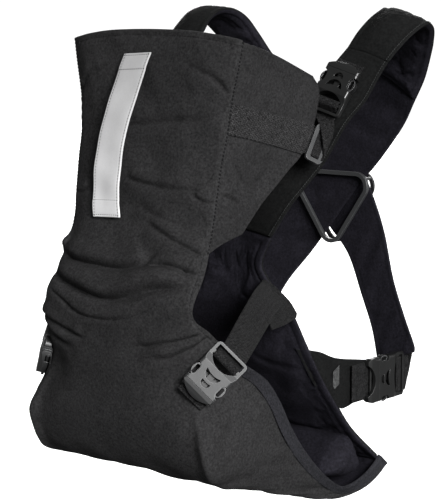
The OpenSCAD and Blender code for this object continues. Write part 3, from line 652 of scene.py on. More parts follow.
OUTER_ROWS = [
    front_row(256, 246, 111, -136, -127), front_row(230, 224, 107, -138, -128),
    front_row(188, 186, 99, -140, -130), front_row(157, 156, 96, -143, -133),
    front_row(125, 125, 94, -149, -140), front_row(95, 95, 93, -155, -145),
    front_row(68, 68, 92, -161, -149), front_row(44, 44, 93, -171, -157),
    front_row(22, 22, 96, -182, -168),
    seat_row([0, -192, -2.6], [93, -186, -6], [95.5, -182.5, -12]),
    seat_row([0, -197, -32], [96, -181, -34], [106, -167.5, -32.5]),
    seat_row([0, -200, -66], [94, -176.5, -66], [114, -138, -61]),
    seat_row([0, -200, -98], [104, -181, -98], [122, -106, -84]),
    seat_row([0, -197, -133], [117.5, -190, -133], [124, -86, -108]),
    seat_row([0, -186, -162], [118.5, -177, -170], [125, -68, -138]),
    seat_row([0, -164, -180], [114, -149, -184], [126, -48, -165]),
    seat_row([0, -122, -190], [113, -104, -197.5], [127, -22, -192]),
    seat_row([0, -68, -201], [116, -56, -212], [128, 4, -212]),
    seat_row([0, -12, -213], [123, -4, -227], [130, 24, -219]),
    seat_row([0, 44, -223], [129, 46, -228], [132, 50, -213]),
    seat_row([0, 74, -214], [133.5, 73, -213], [134, 67, -203]),
    seat_row([0, 80, -197], [134.5, 79, -197], [134, 77, -195])]
PLEATED = (0.33, 0.50)         # the stretch of the cloth's height with the waist pleats, where its rows lie closer
EXTRA_ROWS = 1.3
SIDES_END = 7 / 21             # where the side cloths' seam ends, and where the leg openings' binding starts
BINDING_START = 11 / 21
row_at = np.linspace(0, 1, 380)
steps = np.cumsum(1 + EXTRA_ROWS * ((row_at > PLEATED[0]) & (row_at < PLEATED[1])))
SHARES = np.interp(row_at, (steps - steps[0]) / (steps[-1] - steps[0]), row_at)
outer_grid = round_corners(surface(OUTER_ROWS, SHARES, 128), 5)


def on_rows(points):
    """a line's points with their shares of the cloth's height turned into shares of its uneven rows"""
    return [(c, np.interp(r, SHARES, row_at)) for c, r in spread(points, 24)]


down_share, across_share = np.meshgrid(SHARES, np.linspace(0, 1, outer_grid.shape[1]), indexing="ij")
slack = np.clip(1 - 3 * across_share, 0, 1) ** 2 * np.clip((0.40 - down_share) / 0.06, 0, 1)
outer_grid = outer_grid - slack[..., None] * np.array([0.0052, 0.0018, 0])         # the far edge hangs looser
HEAD_FOLDS = [
    (3.6, 7, 0.4, [(0.602, 0.057), (0.705, 0.067), (0.86, 0.082), (1.0, 0.083)]),
    (5.0, 9, -0.3, [(0.40, 0.139), (0.469, 0.136), (0.571, 0.128), (0.702, 0.119)]),
    (4.6, 8, 0.5, [(0.46, 0.214), (0.498, 0.219), (0.583, 0.226), (0.7, 0.226)]),
    (3.8, 6, 0.5, [(0.69, 0.230), (0.724, 0.238), (0.80, 0.245), (0.912, 0.243), (1.0, 0.240)]),
    (4.6, 8, 0.4, [(0.54, 0.285), (0.583, 0.298), (0.683, 0.321), (0.80, 0.334), (0.97, 0.338)]),
    (2.2, 9, 0, [(0.50, 0.255), (0.58, 0.275), (0.70, 0.29)]),
    (2.4, 6, 0.3, [(0.80, 0.295), (0.88, 0.312), (0.97, 0.322)]),
    (-2.0, 16, 0, [(0.44, 0.06), (0.52, 0.10), (0.62, 0.12)]),
    (-2.2, 18, 0, [(0.70, 0.16), (0.80, 0.19), (0.93, 0.20)]),
    (-2.4, 16, 0, [(0.62, 0.27), (0.75, 0.285), (0.90, 0.28)])]
WAIST_FOLDS = [
    (9.5, 11, 0.75, [(0.13, 0.358), (0.30, 0.372), (0.419, 0.377), (0.5, 0.378), (0.564, 0.366), (0.588, 0.345)]),
    (10.5, 12, 0.75, [(0.15, 0.388), (0.279, 0.406), (0.4, 0.424), (0.469, 0.435), (0.53, 0.428), (0.60, 0.408),
                      (0.68, 0.400), (0.77, 0.394)]),
    (6.0, 8, 0.6, [(0.57, 0.372), (0.625, 0.363), (0.69, 0.366), (0.78, 0.375), (0.99, 0.377)]),
    (3.4, 6, 0.3, [(0.25, 0.425), (0.336, 0.442), (0.412, 0.463), (0.476, 0.468), (0.54, 0.461), (0.619, 0.435)]),
    (5.4, 8, 0.5, [(0.57, 0.499), (0.598, 0.496), (0.681, 0.485), (0.80, 0.474), (0.917, 0.469)]),
    (6.2, 9, 0.3, [(0.60, 0.513), (0.66, 0.510), (0.745, 0.496), (0.87, 0.484), (0.995, 0.479)]),
    (3.6, 7, 0, [(0.895, 0.580), (0.888, 0.59), (0.872, 0.612), (0.862, 0.630)]),
    (2.8, 10, 0.3, [(0.90, 0.63), (0.88, 0.67), (0.85, 0.70)]),
    (3.6, 7, 0.4, [(0.80, 0.345), (0.88, 0.352), (0.98, 0.356)]),
    (-3.0, 20, 0, [(0.62, 0.53), (0.74, 0.57), (0.80, 0.62)])]
PLEAT_LINE = WAIST_FOLDS[3][3]
# fullness in the far side of the cloth: height in metres, then centre and half width across, and the same down
BULGES = [(0.0042, 0.12, 0.11, 0.465, 0.035), (0.0095, 0.12, 0.12, 0.575, 0.06),
          (0.0040, 0.06, 0.10, 0.345, 0.018), (-0.0030, 0.05, 0.10, 0.368, 0.010)]


def other_side(lines):
    return [(h, w, -s, [(1 - c, r) for c, r in points]) for h, w, s, points in lines]


outer_folds = HEAD_FOLDS + WAIST_FOLDS + other_side([HEAD_FOLDS[0], HEAD_FOLDS[3], *WAIST_FOLDS[4:]])
reach = from_edge(outer_grid)
outer_relief = folds(outer_grid, [(h, w, s, on_rows(points)) for h, w, s, points in outer_folds])
pleats = on_rows(PLEAT_LINE)
outer_relief += puckers(outer_grid, pleats, 7, 0.7, 9, 5)
outer_relief += ripple(outer_grid, 0.060, 0.0009, 3) + ripple(outer_grid, 0.020, 0.00022, 4)
at_seam = np.clip((0.333 - down_share) / 0.01, 0, 1)       # 1 where the side cloths are sewn on
sides = from_edge(outer_grid, ends=False)
outer_relief *= np.clip(reach / 0.008, 0, 1)
rounder = np.abs(2 * across_share - 1) ** 5 * np.clip((0.40 - down_share) / 0.08, 0, 1)
outer_relief -= 0.0045 * rounder
for height, c, half_across, r, half_down in BULGES:
    outer_relief += height * np.exp(-((across_share - c) / half_across) ** 2 - ((down_share - r) / half_down) ** 2)
outer_relief -= 0.0007 * bell(reach, 0.0055, 0.0014) * (1 - at_seam * (sides < 0.012))
outer_relief -= 0.0006 * at_seam * bell(sides, 0, 0.002)
outer_thick = 0.0018 + 0.0032 * crown(reach, 0.02)
outer_panel = shell("outer_panel", outer_grid, outer_relief, outer_relief - outer_thick, [OUTER, LINING], inner=1,
                    roll=0.5 * (1 - at_seam * (sides < 0.004)))
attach(outer_panel, "carrier")
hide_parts("front_panel", "seat_panel")

# ---------------------------------------------------------------- side panels
SIDE_ROWS = [
    [[111, -126, 245], [108, -72, 231], [105, -8, 209]], [[106.5, -127, 223], [107, -62, 212], [105, 3, 193]],
    [[99, -129, 187], [104, -62, 172], [106, -7, 160]], [[96, -132, 157], [102, -74, 143], [105, -26, 131]],
    [[93.8, -138, 125], [100, -82, 122], [103, -42, 118]], [[93, -143, 96], [98, -98, 100], [101, -63, 101]],
    [[92, -147, 70], [96, -118, 77], [99, -84, 84]], [[93, -154, 46], [94, -138, 51], [97, -110, 58]]]
SIDE_FOLDS = [(3.4, 6, 0.4, [(0.02, 0.455), (0.10, 0.50), (0.20, 0.60), (0.34, 0.68)]),
              (3.2, 6, 0.4, [(0.02, 0.70), (0.144, 0.721), (0.35, 0.77), (0.581, 0.85)]),
              (-2.4, 10, 0, [(0.50, 0.47), (0.60, 0.60), (0.62, 0.78)]),
              (-1.8, 10, 0, [(0.2, 0.1), (0.45, 0.17), (0.8, 0.2)]),
              (2.0, 7, 0.2, [(0.02, 0.12), (0.10, 0.17), (0.22, 0.19)])]
for side, rows in (("left", SIDE_ROWS), ("right", mirrored(SIDE_ROWS))):
    g = surface(rows, 130, 80)
    turn = slice(None) if side == "left" else slice(None, None, -1)
    seam_face = (outer_grid + normals(outer_grid) * outer_relief[..., None])[:, turn][:, -1]
    seam = np.stack([np.interp(np.linspace(0, SIDES_END, len(g)), SHARES, seam_face[:, k]) for k in range(3)], axis=1)
    g = g[:, turn]
    nearness = np.clip(1 - arcs(g)[0] / 0.040, 0, 1) ** 2
    g = (g + (seam - g[:, 0])[:, None] * nearness[..., None])[:, turn]
    lines = SIDE_FOLDS if side == "left" else other_side(SIDE_FOLDS)
    d = from_edge(g)
    relief = folds(g, lines) + ripple(g, 0.045, 0.0006, 11) + ripple(g, 0.018, 0.0002, 12)
    relief *= np.clip(d / 0.010, 0, 1)
    along_seam = arcs(g)[0] if side == "left" else arcs(g)[0][:, -1:] - arcs(g)[0]
    relief -= 0.0004 * bell(d, 0.005, 0.0013) * (along_seam > 0.012) + 0.0006 * bell(along_seam, 0, 0.002)
    relief += puckers(g, [(0.02 if side == "left" else 0.98, r) for r in (0.02, 0.5, 0.98)], 9, 0.5, 7, 13)
    piece = shell("side_cloth_" + side, g, relief, relief - 0.0022, [SIDE, LINING], inner=1,
                  roll=0.5 * (along_seam > 0.004))
    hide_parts("side_panel_" + side)
    declare_sheet(piece, g)
    s = 1 if side == "left" else -1
    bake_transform(piece)

    # the herringbone band across the side panel
    n0 = g.shape[0]
    lo, hi = int(round(2 / 7 * (n0 - 1))), int(round(3 / 7 * (n0 - 1)))
    band_grid = g[lo:hi + 1] + normals(g)[lo:hi + 1] * (relief[lo:hi + 1, :, None] + 0.0006)
    band = shell("head_band_cloth_" + side, band_grid, 0.0007 + ripple(band_grid, 0.02, 0.0002, 17), -0.0008,
                 HERRINGBONE, roll=0.3)
    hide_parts("head_band_" + side)
    declare_sheet(band, band_grid)
    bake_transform(band)

# ---------------------------------------------------------------- bindings of the leg openings
first_row = int(np.searchsorted(SHARES, BINDING_START))
for side in ("left", "right"):
    turn = slice(None) if side == "left" else slice(None, None, -1)
    g, n = outer_grid[first_row:, turn], normals(outer_grid)[first_row:, turn]
    edge = g[:, -1]
    inward = unit(g[:, -8] - g[:, -1])
    up = n[:, -1]
    columns = []
    for reach_in, level in ((14, 0.9), (11, 0.9), (7, 0.9), (3.5, 0.9), (0.8, 0.7)):
        columns.append(edge + inward * reach_in * MM + up * level * MM)
    columns.append(edge - inward * 1.6 * MM - up * 0.9 * MM)
    for reach_in, level in ((0.8, 2.5), (4, 3.2), (8, 4.2), (11, 4.9)):
        columns.append(edge + inward * reach_in * MM - up * level * MM)
    tape = np.stack(columns, axis=1)
    if side == "right":
        tape = tape[:, ::-1]
    fine = np.swapaxes(spread(np.swapaxes(tape, 0, 1), 28), 0, 1)
    piece = shell("binding_tape_" + side, fine, 0.0005, -0.0005, TAPE)
    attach(piece, "carrier")
    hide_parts("leg_binding_" + side)
    declare_sheet(piece, fine)

# ---------------------------------------------------------------- reflective strip
STRIP = [[-12, -139, 232], [-16.5, -144, 214], [-24, -150, 185], [-33, -155, 150], [-36.5, -159, 115],
         [-36.5, -161, 88], [-34.5, -161.8, 70]]
strip_grid = surface([[[x - 18.5, y + 1, z - 1], [x, y, z], [x + 18.5, y - 1, z + 1]] for x, y, z in STRIP], 120, 34)
d = from_edge(strip_grid)
down = arcs(strip_grid)[1]
hem = np.clip((0.017 - np.minimum(down, down[-1:] - down)) / 0.001, 0, 1)
strip_relief = 0.0004 * hem - 0.0003 * bell(d, 0.002, 0.0008) + ripple(strip_grid, 0.05, 0.0005, 21)
strip = shell("reflective_cloth_strip", strip_grid, 0.0018 + strip_relief, strip_relief, SILVER)
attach(strip, "carrier")
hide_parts("reflective_strap")
declare_sheet(strip, strip_grid)

# ---------------------------------------------------------------- inner panel, roll and head pad


def inner_row(z, hw, yc, ye):
    return whole([[0, yc, z], [0.5 * hw, yc + 0.2 * (ye - yc), z], [hw, ye, z]])


INNER_ROWS = [
    whole([[0, -12, 48.2], [29, -13.2, 46], [58, -18, 41.4]]), inner_row(15, 46, -12, -18),
    inner_row(0, 51, -12, -17), inner_row(-19, 67, -12, -15), inner_row(-37, 81, -12, -10),
    inner_row(-74, 97, -8, -3), inner_row(-105, 106, 4, 8), inner_row(-137, 114, 22, 25),
    inner_row(-165, 121, 43, 42), inner_row(-192, 131, 68, 66), inner_row(-200, 133, 78, 75)]
inner_grid = surface(INNER_ROWS, 104, 96)
d = from_edge(inner_grid)
groove = bell(d, 0.009, 0.0018)
puff = crown(d, 0.022)
top = 0.0005 + 0.001 * puff - 0.0012 * groove + ripple(inner_grid, 0.05, 0.0009, 31) * puff
top += folds(inner_grid, [(2.6, 9, 0.3, [(0.62, 0.30), (0.74, 0.36), (0.93, 0.40)]),
                          (2.2, 8, -0.3, [(0.60, 0.52), (0.76, 0.56), (0.95, 0.57)]),
                          (2.4, 8, 0.2, [(0.55, 0.74), (0.72, 0.80), (0.94, 0.80)])]) * puff
for column in (0.035, 0.965):
    top += puckers(inner_grid, [(column, r) for r in (0.05, 0.5, 0.98)], 8, 0.6, 7, 33)
under = -0.0022 - 0.0076 * puff + 0.002 * groove
inner_panel = shell("inner_panel_pad", inner_grid, top, under, [LINING, PAD], inner=1, roll=0.8)
stuff(inner_panel, np.clip((d - 0.010) / 0.01, 0, 1), pressure=2.5, cap=2.0)
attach(inner_panel, "carrier")
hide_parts("inner_panel", "inner_foam")

ROLL_SECTION = [[7, 24], [16, 13], [23, 1], [28, -11], [19, -20], [2, -22.5], [-19, -17.5], [-36, -12], [-31, 0],
                [-17, 14], [-4, 23]]
ROLL_ENDS = [[-1.06, 0.03], [-1.055, 0.3], [-1.035, 0.58], [-1, 0.78], [-0.94, 0.92], [-0.85, 0.98], [-0.4, 1],
             [0.4, 1], [0.85, 0.98], [0.94, 0.92], [1, 0.78], [1.035, 0.58], [1.055, 0.3], [1.06, 0.03]]
section = spread(np.array(ROLL_SECTION + ROLL_SECTION[:1], float), 61)[:-1]
taper = spread(np.array(ROLL_ENDS, float), 110)
turns = np.linspace(0, 2 * math.pi, len(section), endpoint=False)
rng = np.random.default_rng(71)
swell = np.ones((len(taper), len(section)))
for _ in range(14):
    swell += 0.011 * np.sin(rng.integers(1, 5) * turns[None] + rng.uniform(-26, 26) * taper[:, :1]
                            + rng.uniform(0, 6.28))
swell += 0.05 * np.exp((np.abs(taper[:, :1]) - 1.06) / 0.09) * np.sin(11 * turns[None])
points = [(e[0] * 121 * MM, (34 + e[1] * w * p[0]) * MM, (-192 + e[1] * w * p[1]) * MM)
          for e, ring in zip(taper, swell) for p, w in zip(section, ring)]
around = len(section)
faces = []
for s in range(len(taper) - 1):
    for a in range(around):
        b = (a + 1) % around
        faces.append([s * around + a, s * around + b, (s + 1) * around + b, (s + 1) * around + a])
faces.append([a for a in range(around - 1, -1, -1)])
faces.append([(len(taper) - 1) * around + a for a in range(around)])
mesh = bpy.data.meshes.new("base_roll_pad")
mesh.from_pydata(points, [], faces)
layer = mesh.uv_layers.new(name="cut")
uv = np.array([(e[0] * 0.122, k * 0.0026) for e in taper for k in range(around)], np.float32)
layer.data.foreach_set("uv", uv[[v for f in faces for v in f]].ravel())
mesh.polygons.foreach_set("use_smooth", np.ones(len(faces), bool))
mesh.materials.append(LINING)
mesh.update()
base_roll = bpy.data.objects.new("base_roll_pad", mesh)
scene.collection.objects.link(base_roll)
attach(base_roll, "carrier")
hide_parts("base_roll")

head_rows = [row[1:-1] for row in OUTER_ROWS[0:4]]
pad_area = surface([[[0.86 * p[0] if abs(p[0]) > 60 else p[0], p[1], p[2] - 9] for p in row] for row in head_rows],
                   70, 80)
d = from_edge(pad_area)
rise = crown(d, 0.018)
head_pad = shell("head_pad_cushion", pad_area, -0.0054 + 0 * d,
                 -0.0085 - 0.0082 * rise + 0.001 * bell(d, 0.03, 0.002), LINING, roll=0.7)
stuff(head_pad, np.clip((d - 0.004) / 0.01, 0, 1), pressure=2.5, cap=2.0)
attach(head_pad, "carrier")
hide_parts("head_pad", "head_stiffener")

# ---------------------------------------------------------------- padded straps
CHEST_ROWS = [
    [[6, -13, 50], [34, -16, 47], [60, -19, 43]], [[22, -12, 76], [50, -12, 76], [78, -10, 75]],
    [[42, -7, 104], [69, -3, 104], [95, 4, 103]], [[56, 0, 126], [81, 5, 124], [105, 13, 121]],
    [[73, 12, 163], [98, 17, 162], [124, 24, 160]], [[85, 22, 191], [111, 27, 188], [138, 36, 183]],
    [[94, 35, 214], [120, 38, 211], [147, 45, 206]], [[102, 54.6, 235.8], [127.7, 53.6, 230.6], [152.8, 53.2, 222]]]
SHOULDER_ROWS = [
    [[102, 55, 236], [128, 54, 231], [153, 54, 223]], [[106, 67, 252], [132, 66, 247], [158, 67, 237]],
    [[109, 84, 266], [135, 83, 261], [160, 87, 250]], [[110, 103, 275], [136.5, 104, 271], [162.5, 111, 261]],
    [[103, 118, 276], [132, 122, 269], [159.5, 128, 256]], [[95, 132, 267], [122.5, 137, 257], [150.5, 142, 243]],
    [[88, 146, 248], [114, 149, 240], [141, 152, 228]], [[79, 158, 226], [102, 162, 215], [125, 165, 202]],
    [[66, 165, 208], [88, 168, 195], [110, 170, 178]]]
RIGHT_RISE = [0, 4, 8, 11, 11, 8, 4, 0, 0]
right_shoulder = mirrored([[row[0], [row[1][0], row[1][1], row[1][2] + r / 2], [row[2][0], row[2][1], row[2][2] + r]]
                           for row, r in zip(SHOULDER_ROWS, RIGHT_RISE)])
BACK_ROWS = {
    "left": [
        [[66, 165.4, 207.6], [88, 168.4, 194.6], [110, 170.4, 177.6]],
        [[38, 172, 181], [63, 174, 165.5], [91, 176, 148.5]], [[6, 175, 150], [33, 175, 129.5], [61.5, 175, 110]],
        [[-22, 175, 116], [3, 175, 96], [29, 175, 75]], [[-48, 175, 80], [-26, 175, 60], [-2, 175, 36]],
        [[-76, 173, 36], [-54, 173, 19], [-31, 174, 0]], [[-99, 165, -14], [-79, 165, -26], [-59, 164, -38]],
        [[-116, 155, -54], [-96, 156, -64], [-76, 157, -74]],
        [[-128, 145, -86], [-103, 146, -95], [-79, 147, -105]],
        [[-129.5, 144.5, -94], [-104.5, 145, -103], [-81, 146, -113]]],
    "right": [
        [[66, 165.4, 207.6], [88, 168.4, 194.6], [110, 170.4, 177.6]],
        [[38, 172, 181], [63, 174, 166], [89, 176, 150]], [[6, 175, 150], [32, 175, 131], [58, 175, 113]],
        [[-22, 175, 116], [2, 175, 97], [28, 175, 76]], [[-46, 175, 78], [-18, 175, 58], [12, 175, 36]],
        [[-67, 173, 32], [-43, 173, 17], [-19, 174, 1]], [[-86, 165, -20], [-65, 165, -32], [-45, 165, -43]],
        [[-108, 155, -58], [-86, 156, -67], [-65, 157, -77]],
        [[-128, 145, -86], [-103, 146, -95], [-79, 147, -105]],
        [[-129.5, 144.5, -94], [-104.5, 145, -103], [-81, 146, -113]]]}
OVER = 3.4


def strap(name, rows, nu, nv, thick, seam, seed, cap):
    """a padded strap with its face outwards, a lining on the wearer's side and a seam along both edges"""
    g = surface(rows, nu, nv)
    d = from_edge(g)
    puff = crown(d, 0.014)
    groove = bell(d, seam * MM, 0.0014)
    under = -0.0004 - 0.0012 * puff + 0.0008 * groove + ripple(g, 0.05, 0.0003, seed) * puff
    top = 0.0016 + (thick * MM - 0.0016) * puff - 0.0012 * groove
    top += (ripple(g, 0.035, 0.0007, seed + 1, along=75) + ripple(g, 0.016, 0.00025, seed + 2)) * puff
    piece = shell(name, g, top, under, [LINING, PAD], inner=1, edge=1, roll=0.7)
    if cap:
        stuff(piece, np.clip((d - seam * MM) / 0.006, 0, 1), pressure=3, cap=cap)
    return piece, g, under


for side in ("left", "right"):
    chest, g, face = strap("chest_strap_pad_" + side, CHEST_ROWS if side == "left" else mirrored(CHEST_ROWS),
                           110, 34, 8, 6, 41, 0)
    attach(chest, "carrier")
    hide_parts("chest_strap_" + side)
    thread_edge = "right" if side == "left" else "left"
    seams = [inset_line(g, face, 2.2, thread_edge)]
    over, g, face = strap("shoulder_strap_pad_" + side, SHOULDER_ROWS if side == "left" else right_shoulder,
                          104, 34, 8, 6, 45, 1.5)
    seams.append(inset_line(g, face, 2.2, thread_edge, 0.0, 0.45))
    edge_threads = [(p - m * 0.0004, -m) for p, m in seams]
    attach(sewn("strap_edge_stitching_" + side, edge_threads, PALE_THREAD, pitch=2.6, size=1.7, radius=0.28),
            "carrier")
    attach(over, "carrier")
    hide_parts("shoulder_strap_" + side, *(["shoulder_foam"] if side == "left" else []))
    rows = BACK_ROWS[side]
    if side == "right":
        rows = [[[-p[0], p[1] + OVER, p[2]] for p in row[::-1]] for row in rows]
    g = surface(rows, 190, 30)
    d = from_edge(g, False)
    wrinkle = ripple(g, 0.030, 0.0005, 51, along=70) * np.clip(d / 0.008, 0, 1) - 0.0004 * bell(d, 0.005, 0.0012)
    piece = shell("back_strap_cloth_" + side, g, 0.0026 + wrinkle, 0.0002 + 0.3 * wrinkle, [LINING, PAD], inner=1)
    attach(piece, "carrier")
    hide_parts("back_strap_" + side)
    declare_sheet(piece, g)

# ---------------------------------------------------------------- waist wings and care label
WING_ROWS = [
    [[86, -8, -73], [95, 4, -103], [103, 24, -138]],
    [[97, 8, -76.6], [104, 20, -106.6], [108, 39, -139.6]], [[101, 18, -79.5], [103, 35, -110], [105, 52, -143]],
    [[103, 36, -87], [105, 48, -113], [106, 62, -141]],
    [[105, 52, -91], [106, 58, -115], [107, 66, -139]], [[107, 70, -94], [107, 70, -116], [107, 70, -138.5]],
    [[108.6, 79, -95.5], [108.6, 79, -117], [108.6, 79, -138.5]],
    [[109, 86, -96.5], [109, 86, -117.5], [109, 86, -138.5]]]
for side in ("left", "right"):
    g = surface(WING_ROWS if side == "left" else mirrored(WING_ROWS), 60, 60)
    d = from_edge(g)
    soft = ripple(g, 0.03, 0.0004, 61) * np.clip(d / 0.008, 0, 1) - 0.0005 * bell(d, 0.006, 0.0013)
    wing = shell("waist_wing_cloth_" + side, g, 0.003 + soft, soft, [LINING, PAD], inner=1)
    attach(wing, "carrier")
    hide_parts("waist_wing_" + side)
g = surface([[[x, y, z + slant] for z in (-98, -108, -118)]
             for x, y, slant in ((104.6, 31, -3), (105.2, 35.5, 0), (105.9, 40, 3))], 20, 40)
label = shell("care_label_cloth", g, 0.0, -0.0006, LABEL)
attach(label, "carrier")
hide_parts("care_label")
declare_sheet(label, g)

# ---------------------------------------------------------------- webbing


def buckle_frame(at, way, face):
    x = unit(np.array(way, float))
    y = unit(np.cross(np.array(face, float), x))
    z = np.cross(x, y)
    return lambda a, b, c: (np.array(at, float) + a * x + b * y + c * z).tolist()


SEAT_BUCKLE = buckle_frame([105.3, -184.1, -82], [40, 62, 67.5], [0.666, -0.703, 0.251])
HEAD_BUCKLE = buckle_frame([116, 29, 212], [-13, -31, -54], [0.25, -0.87, 0.43])
HIP_BUCKLE = buckle_frame([115, 94, -118], [0, 1, 0], [1, 0, 0])


def through(place, frame_end, half):
    """rows of webbing that go under the end bar, up through its window and over the ladder bar"""
    path = [(frame_end + 2, -4.2), (frame_end - 2, -4.2), (frame_end - 4.6, -3.4), (frame_end - 6.6, 0.2),
            (frame_end - 8.6, 3.5), (frame_end - 11, 4.2), (frame_end - 13.6, 4.0), (frame_end - 15, 2.6)]
    return [[place(x, half * s, z) for s in (-1, 0, 1)] for x, z in path]


def lifted(rows, by):
    g = np.array(rows, float)
    return (g + normals(g) * by).tolist()


def webbing(name, rows, side, node, material=None, nu=150, nv=20):
    g = surface(rows if side == "left" else mirrored(rows), nu, nv)
    piece = shell(name, g, 0.0008, -0.0008, material or WEBBING, roll=0.6)
    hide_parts(*node)
    declare_sheet(piece, g)
    return piece


SEAT_WEB_ROWS = [
    [[52, -21, -3], [64, -18, -14], [76, -15, -25]], [[75, -64, -6], [86, -62, -18], [97, -60, -30]],
    [[97, -110, -18], [106, -105, -29.5], [115, -101, -41]],
    [[113.5, -154.9, -39.8], [122, -149.6, -49.6], [130.5, -144.3, -59.4]]]
HEAD_WEB_ROWS = [
    [[91.3, 7.2, 171.6], [104.5, 8.9, 167.4], [117.8, 10.6, 163.2]],
    [[106, -1, 163.5], [114, 1.5, 159.5], [122, 5, 155.5]],
    [[117, -7.6, 146], [119.2, -2.6, 147.5], [121.5, 2.5, 149]],
    [[118.8, -10, 125.2], [118.9, -2.5, 137], [119, 5, 148.8]],
    [[113.2, -15.8, 128.8], [113.2, -8.3, 140.6], [113.2, -0.8, 152.4]],
    [[109.6, -20.5, 131.8], [109.6, -13, 143.6], [109.6, -5.5, 155.4]]]
HEAD_BAND_END_ROWS = [
    [[103.4, -28.5, 137.2], [103.4, -21, 149], [103.4, -13.5, 160.8]],
    [[104.6, -24.7, 134.5], [104.6, -17.2, 146.3], [104.6, -9.7, 158.1]],
    [[105.1, -22.2, 132.8], [105.1, -14.7, 144.6], [105.1, -7.2, 156.4]],
    [[107.2, -18.6, 130.6], [107.2, -11.1, 142.4], [107.2, -3.6, 154.2]]]
ANCHOR_ROWS = [
    [[50, -16, -4], [60, -11, -13], [74, -7, -26], [85, -9, -37.5]],
    [[51, -22, -6.5], [60, -19.5, -14], [75, -17, -28], [88.5, -16, -40.5]],
    [[54, -30, -8], [65, -32, -18], [80, -36, -31], [94.5, -39, -43]],
    [[60, -41, -10.5], [72, -49, -20.5], [87, -61, -33], [102, -72, -43.5]]]
HIP_TAB_ROWS = [
    [[111.6, 145, -98], [111.6, 145, -118], [111.6, 145, -138]],
    [[119, 154, -95], [116.5, 152.5, -117], [114, 151, -138]],
    [[123, 152, -92], [117, 154, -111], [110, 155, -129]], [[117, 150, -93], [105, 152, -103], [93, 153, -112]]]


def matched(rows, tail):
    """the tail's rows turned, where needed, to run the same way across as the rows before them"""
    last = np.array(rows[-1], float)
    same = np.linalg.norm(np.array(tail[0][0]) - last[0]) < np.linalg.norm(np.array(tail[0][-1]) - last[0])
    return rows + (tail if same else [row[::-1] for row in tail])


for side in ("left", "right"):
    seat_web = webbing("seat_webbing_strap_" + side,
                       matched(lifted(SEAT_WEB_ROWS[:3], 0.8), through(SEAT_BUCKLE, 47, 14)), side,
                       ["seat_webbing_" + side])
    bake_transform(seat_web)
    g = matched(lifted(HEAD_WEB_ROWS, 0.8)[::-1], through(HEAD_BUCKLE, 47, 14))
    head_web = webbing("head_webbing_strap_" + side, g, side, ["head_webbing_" + side])
    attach(head_web, "head_release_" + side)
    band_end = webbing("head_band_end_" + side, HEAD_BAND_END_ROWS, side, [], material=HERRINGBONE, nu=40, nv=24)
    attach(band_end, "head_release_" + side)
    anchor = webbing("seat_webbing_anchor_" + side, lifted(ANCHOR_ROWS, 2.6), side, [], nu=40, nv=40)
    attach(anchor, "carrier")

    hip_rows = [[[109.4 + 0.8, y, -118 + z] for z in (20, 0, -20)] for y in (58, 74, 84, 90.4)]
    hip_web = webbing("hip_webbing_strap_" + side, hip_rows, side, ["hip_webbing"])
    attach(hip_web, "carrier")
    tab = matched(HIP_TAB_ROWS[::-1], through(HIP_BUCKLE, 50, 19))
    hip_tab = webbing("hip_tab_strap_" + side, tab, side, ["hip_tabs"])
    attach(hip_tab, "carrier")
    for kind, place, half in (("seat", SEAT_BUCKLE, 15), ("head", HEAD_BUCKLE, 15)):
        rows = [[place(x, half * s, -5.3) for s in (-1, 0, 1)] for x in (-3.3, -7, -10.5, -13.4)]
        piece = webbing(kind + "_sewn_tab_" + side, rows, side, [kind + "_tabs"], nu=24)
        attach(piece, "carrier")

# ---------------------------------------------------------------- stitching
paths = [inset_line(outer_grid, outer_relief, 5.5, "top"), inset_line(outer_grid, outer_relief, 5.5, "bottom")]
rows_with_side = float(np.searchsorted(SHARES, SIDES_END)) / (len(SHARES) - 1)
for s in ("left", "right"):
    paths.append(inset_line(outer_grid, outer_relief, 5, s, rows_with_side, 0.55))
paths.append(grid_line(outer_grid, outer_relief, pleats))
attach(sewn("outer_panel_stitching", paths, THREAD), "carrier")
paths = [inset_line(outer_grid, outer_relief, d, s, 0.0, rows_with_side)
         for s in ("left", "right") for d in (0.4, 1.3)]
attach(sewn("side_seam_stitching", paths, THREAD, pitch=3.6, size=2.4, radius=0.42), "carrier")
paths = [inset_line(strip_grid, 0.0018 + strip_relief, 2, s) for s in ("left", "right", "top", "bottom")]
paths += [inset_line(strip_grid, 0.0018 + strip_relief, 17, s) for s in ("top", "bottom")]
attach(sewn("strip_stitching", paths, THREAD, pitch=3, size=2.1, radius=0.25), "carrier")

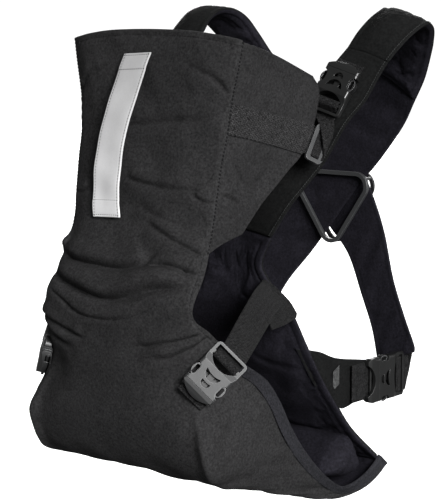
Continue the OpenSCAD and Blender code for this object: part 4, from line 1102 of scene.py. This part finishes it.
# ---------------------------------------------------------------- studio
bpy.ops.object.select_all(action="DESELECT")
bpy.ops.mesh.primitive_plane_add(size=1, location=(0, 0, -0.46))
floor = bpy.context.object
floor.name = "studio_floor"
floor.scale = (14, 14, 1)
bpy.ops.object.transform_apply(location=True, rotation=True, scale=True)
floor_finish = Finish("pale_floor", (0.92, 0.92, 0.92), 0.9)
floor_finish.bump(floor_finish.noise(4, 2), 0.2, 0.2)
floor_finish.shader.inputs["Emission Color"].default_value = (1, 1, 1, 1)
floor_finish.shader.inputs["Emission Strength"].default_value = 0.65
floor.visible_diffuse = floor.visible_glossy = False        # the floor throws no light back up
floor.data.materials.append(floor_finish.material)

world = bpy.data.worlds.new("studio")
scene.world = world
world.use_nodes = True
sky = world.node_tree
fill = sky.nodes["Background"]
fill.inputs[0].default_value = (1, 1, 1, 1)
fill.inputs[1].default_value = 0.19
backdrop = sky.nodes.new("ShaderNodeBackground")
backdrop.inputs[0].default_value = (1, 1, 1, 1)
backdrop.inputs[1].default_value = 1.1
seen = sky.nodes.new("ShaderNodeLightPath")
either = sky.nodes.new("ShaderNodeMixShader")
sky.links.new(seen.outputs["Is Camera Ray"], either.inputs[0])
sky.links.new(fill.outputs[0], either.inputs[1])
sky.links.new(backdrop.outputs[0], either.inputs[2])
sky.links.new(either.outputs[0], sky.nodes["World Output"].inputs[0])


def sun(name, source, angle, power):
    """a broad sun that shines from the given way, with its breadth in degrees"""
    data = bpy.data.lights.new(name, "SUN")
    data.energy = power
    data.angle = math.radians(angle)
    lamp = bpy.data.objects.new(name, data)
    lamp.rotation_euler = Vector(source).to_track_quat("Z", "Y").to_euler()
    scene.collection.objects.link(lamp)


def soft_light(name, place, aim, size, power):
    data = bpy.data.lights.new(name, "AREA")
    data.shape = "RECTANGLE"
    data.size, data.size_y = size
    data.energy = power
    lamp = bpy.data.objects.new(name, data)
    lamp.location = place
    lamp.rotation_euler = (Vector(place) - Vector(aim)).to_track_quat("Z", "Y").to_euler()
    scene.collection.objects.link(lamp)


sun("light_from_behind", (-0.45, 0.80, 0.30), 40, 3.6)
sun("broad_light", (0.84, -0.42, 0.36), 24, 5.9)
soft_light("rim_light", (1.6, 1.3, 0.9), (0, 0, 0.05), (0.5, 1.2), 14)
soft_light("front_light", (0.9, -2.1, 0.9), (0, -0.05, 0.0), (0.9, 0.9), 6)
scene.view_settings.view_transform = "Standard"
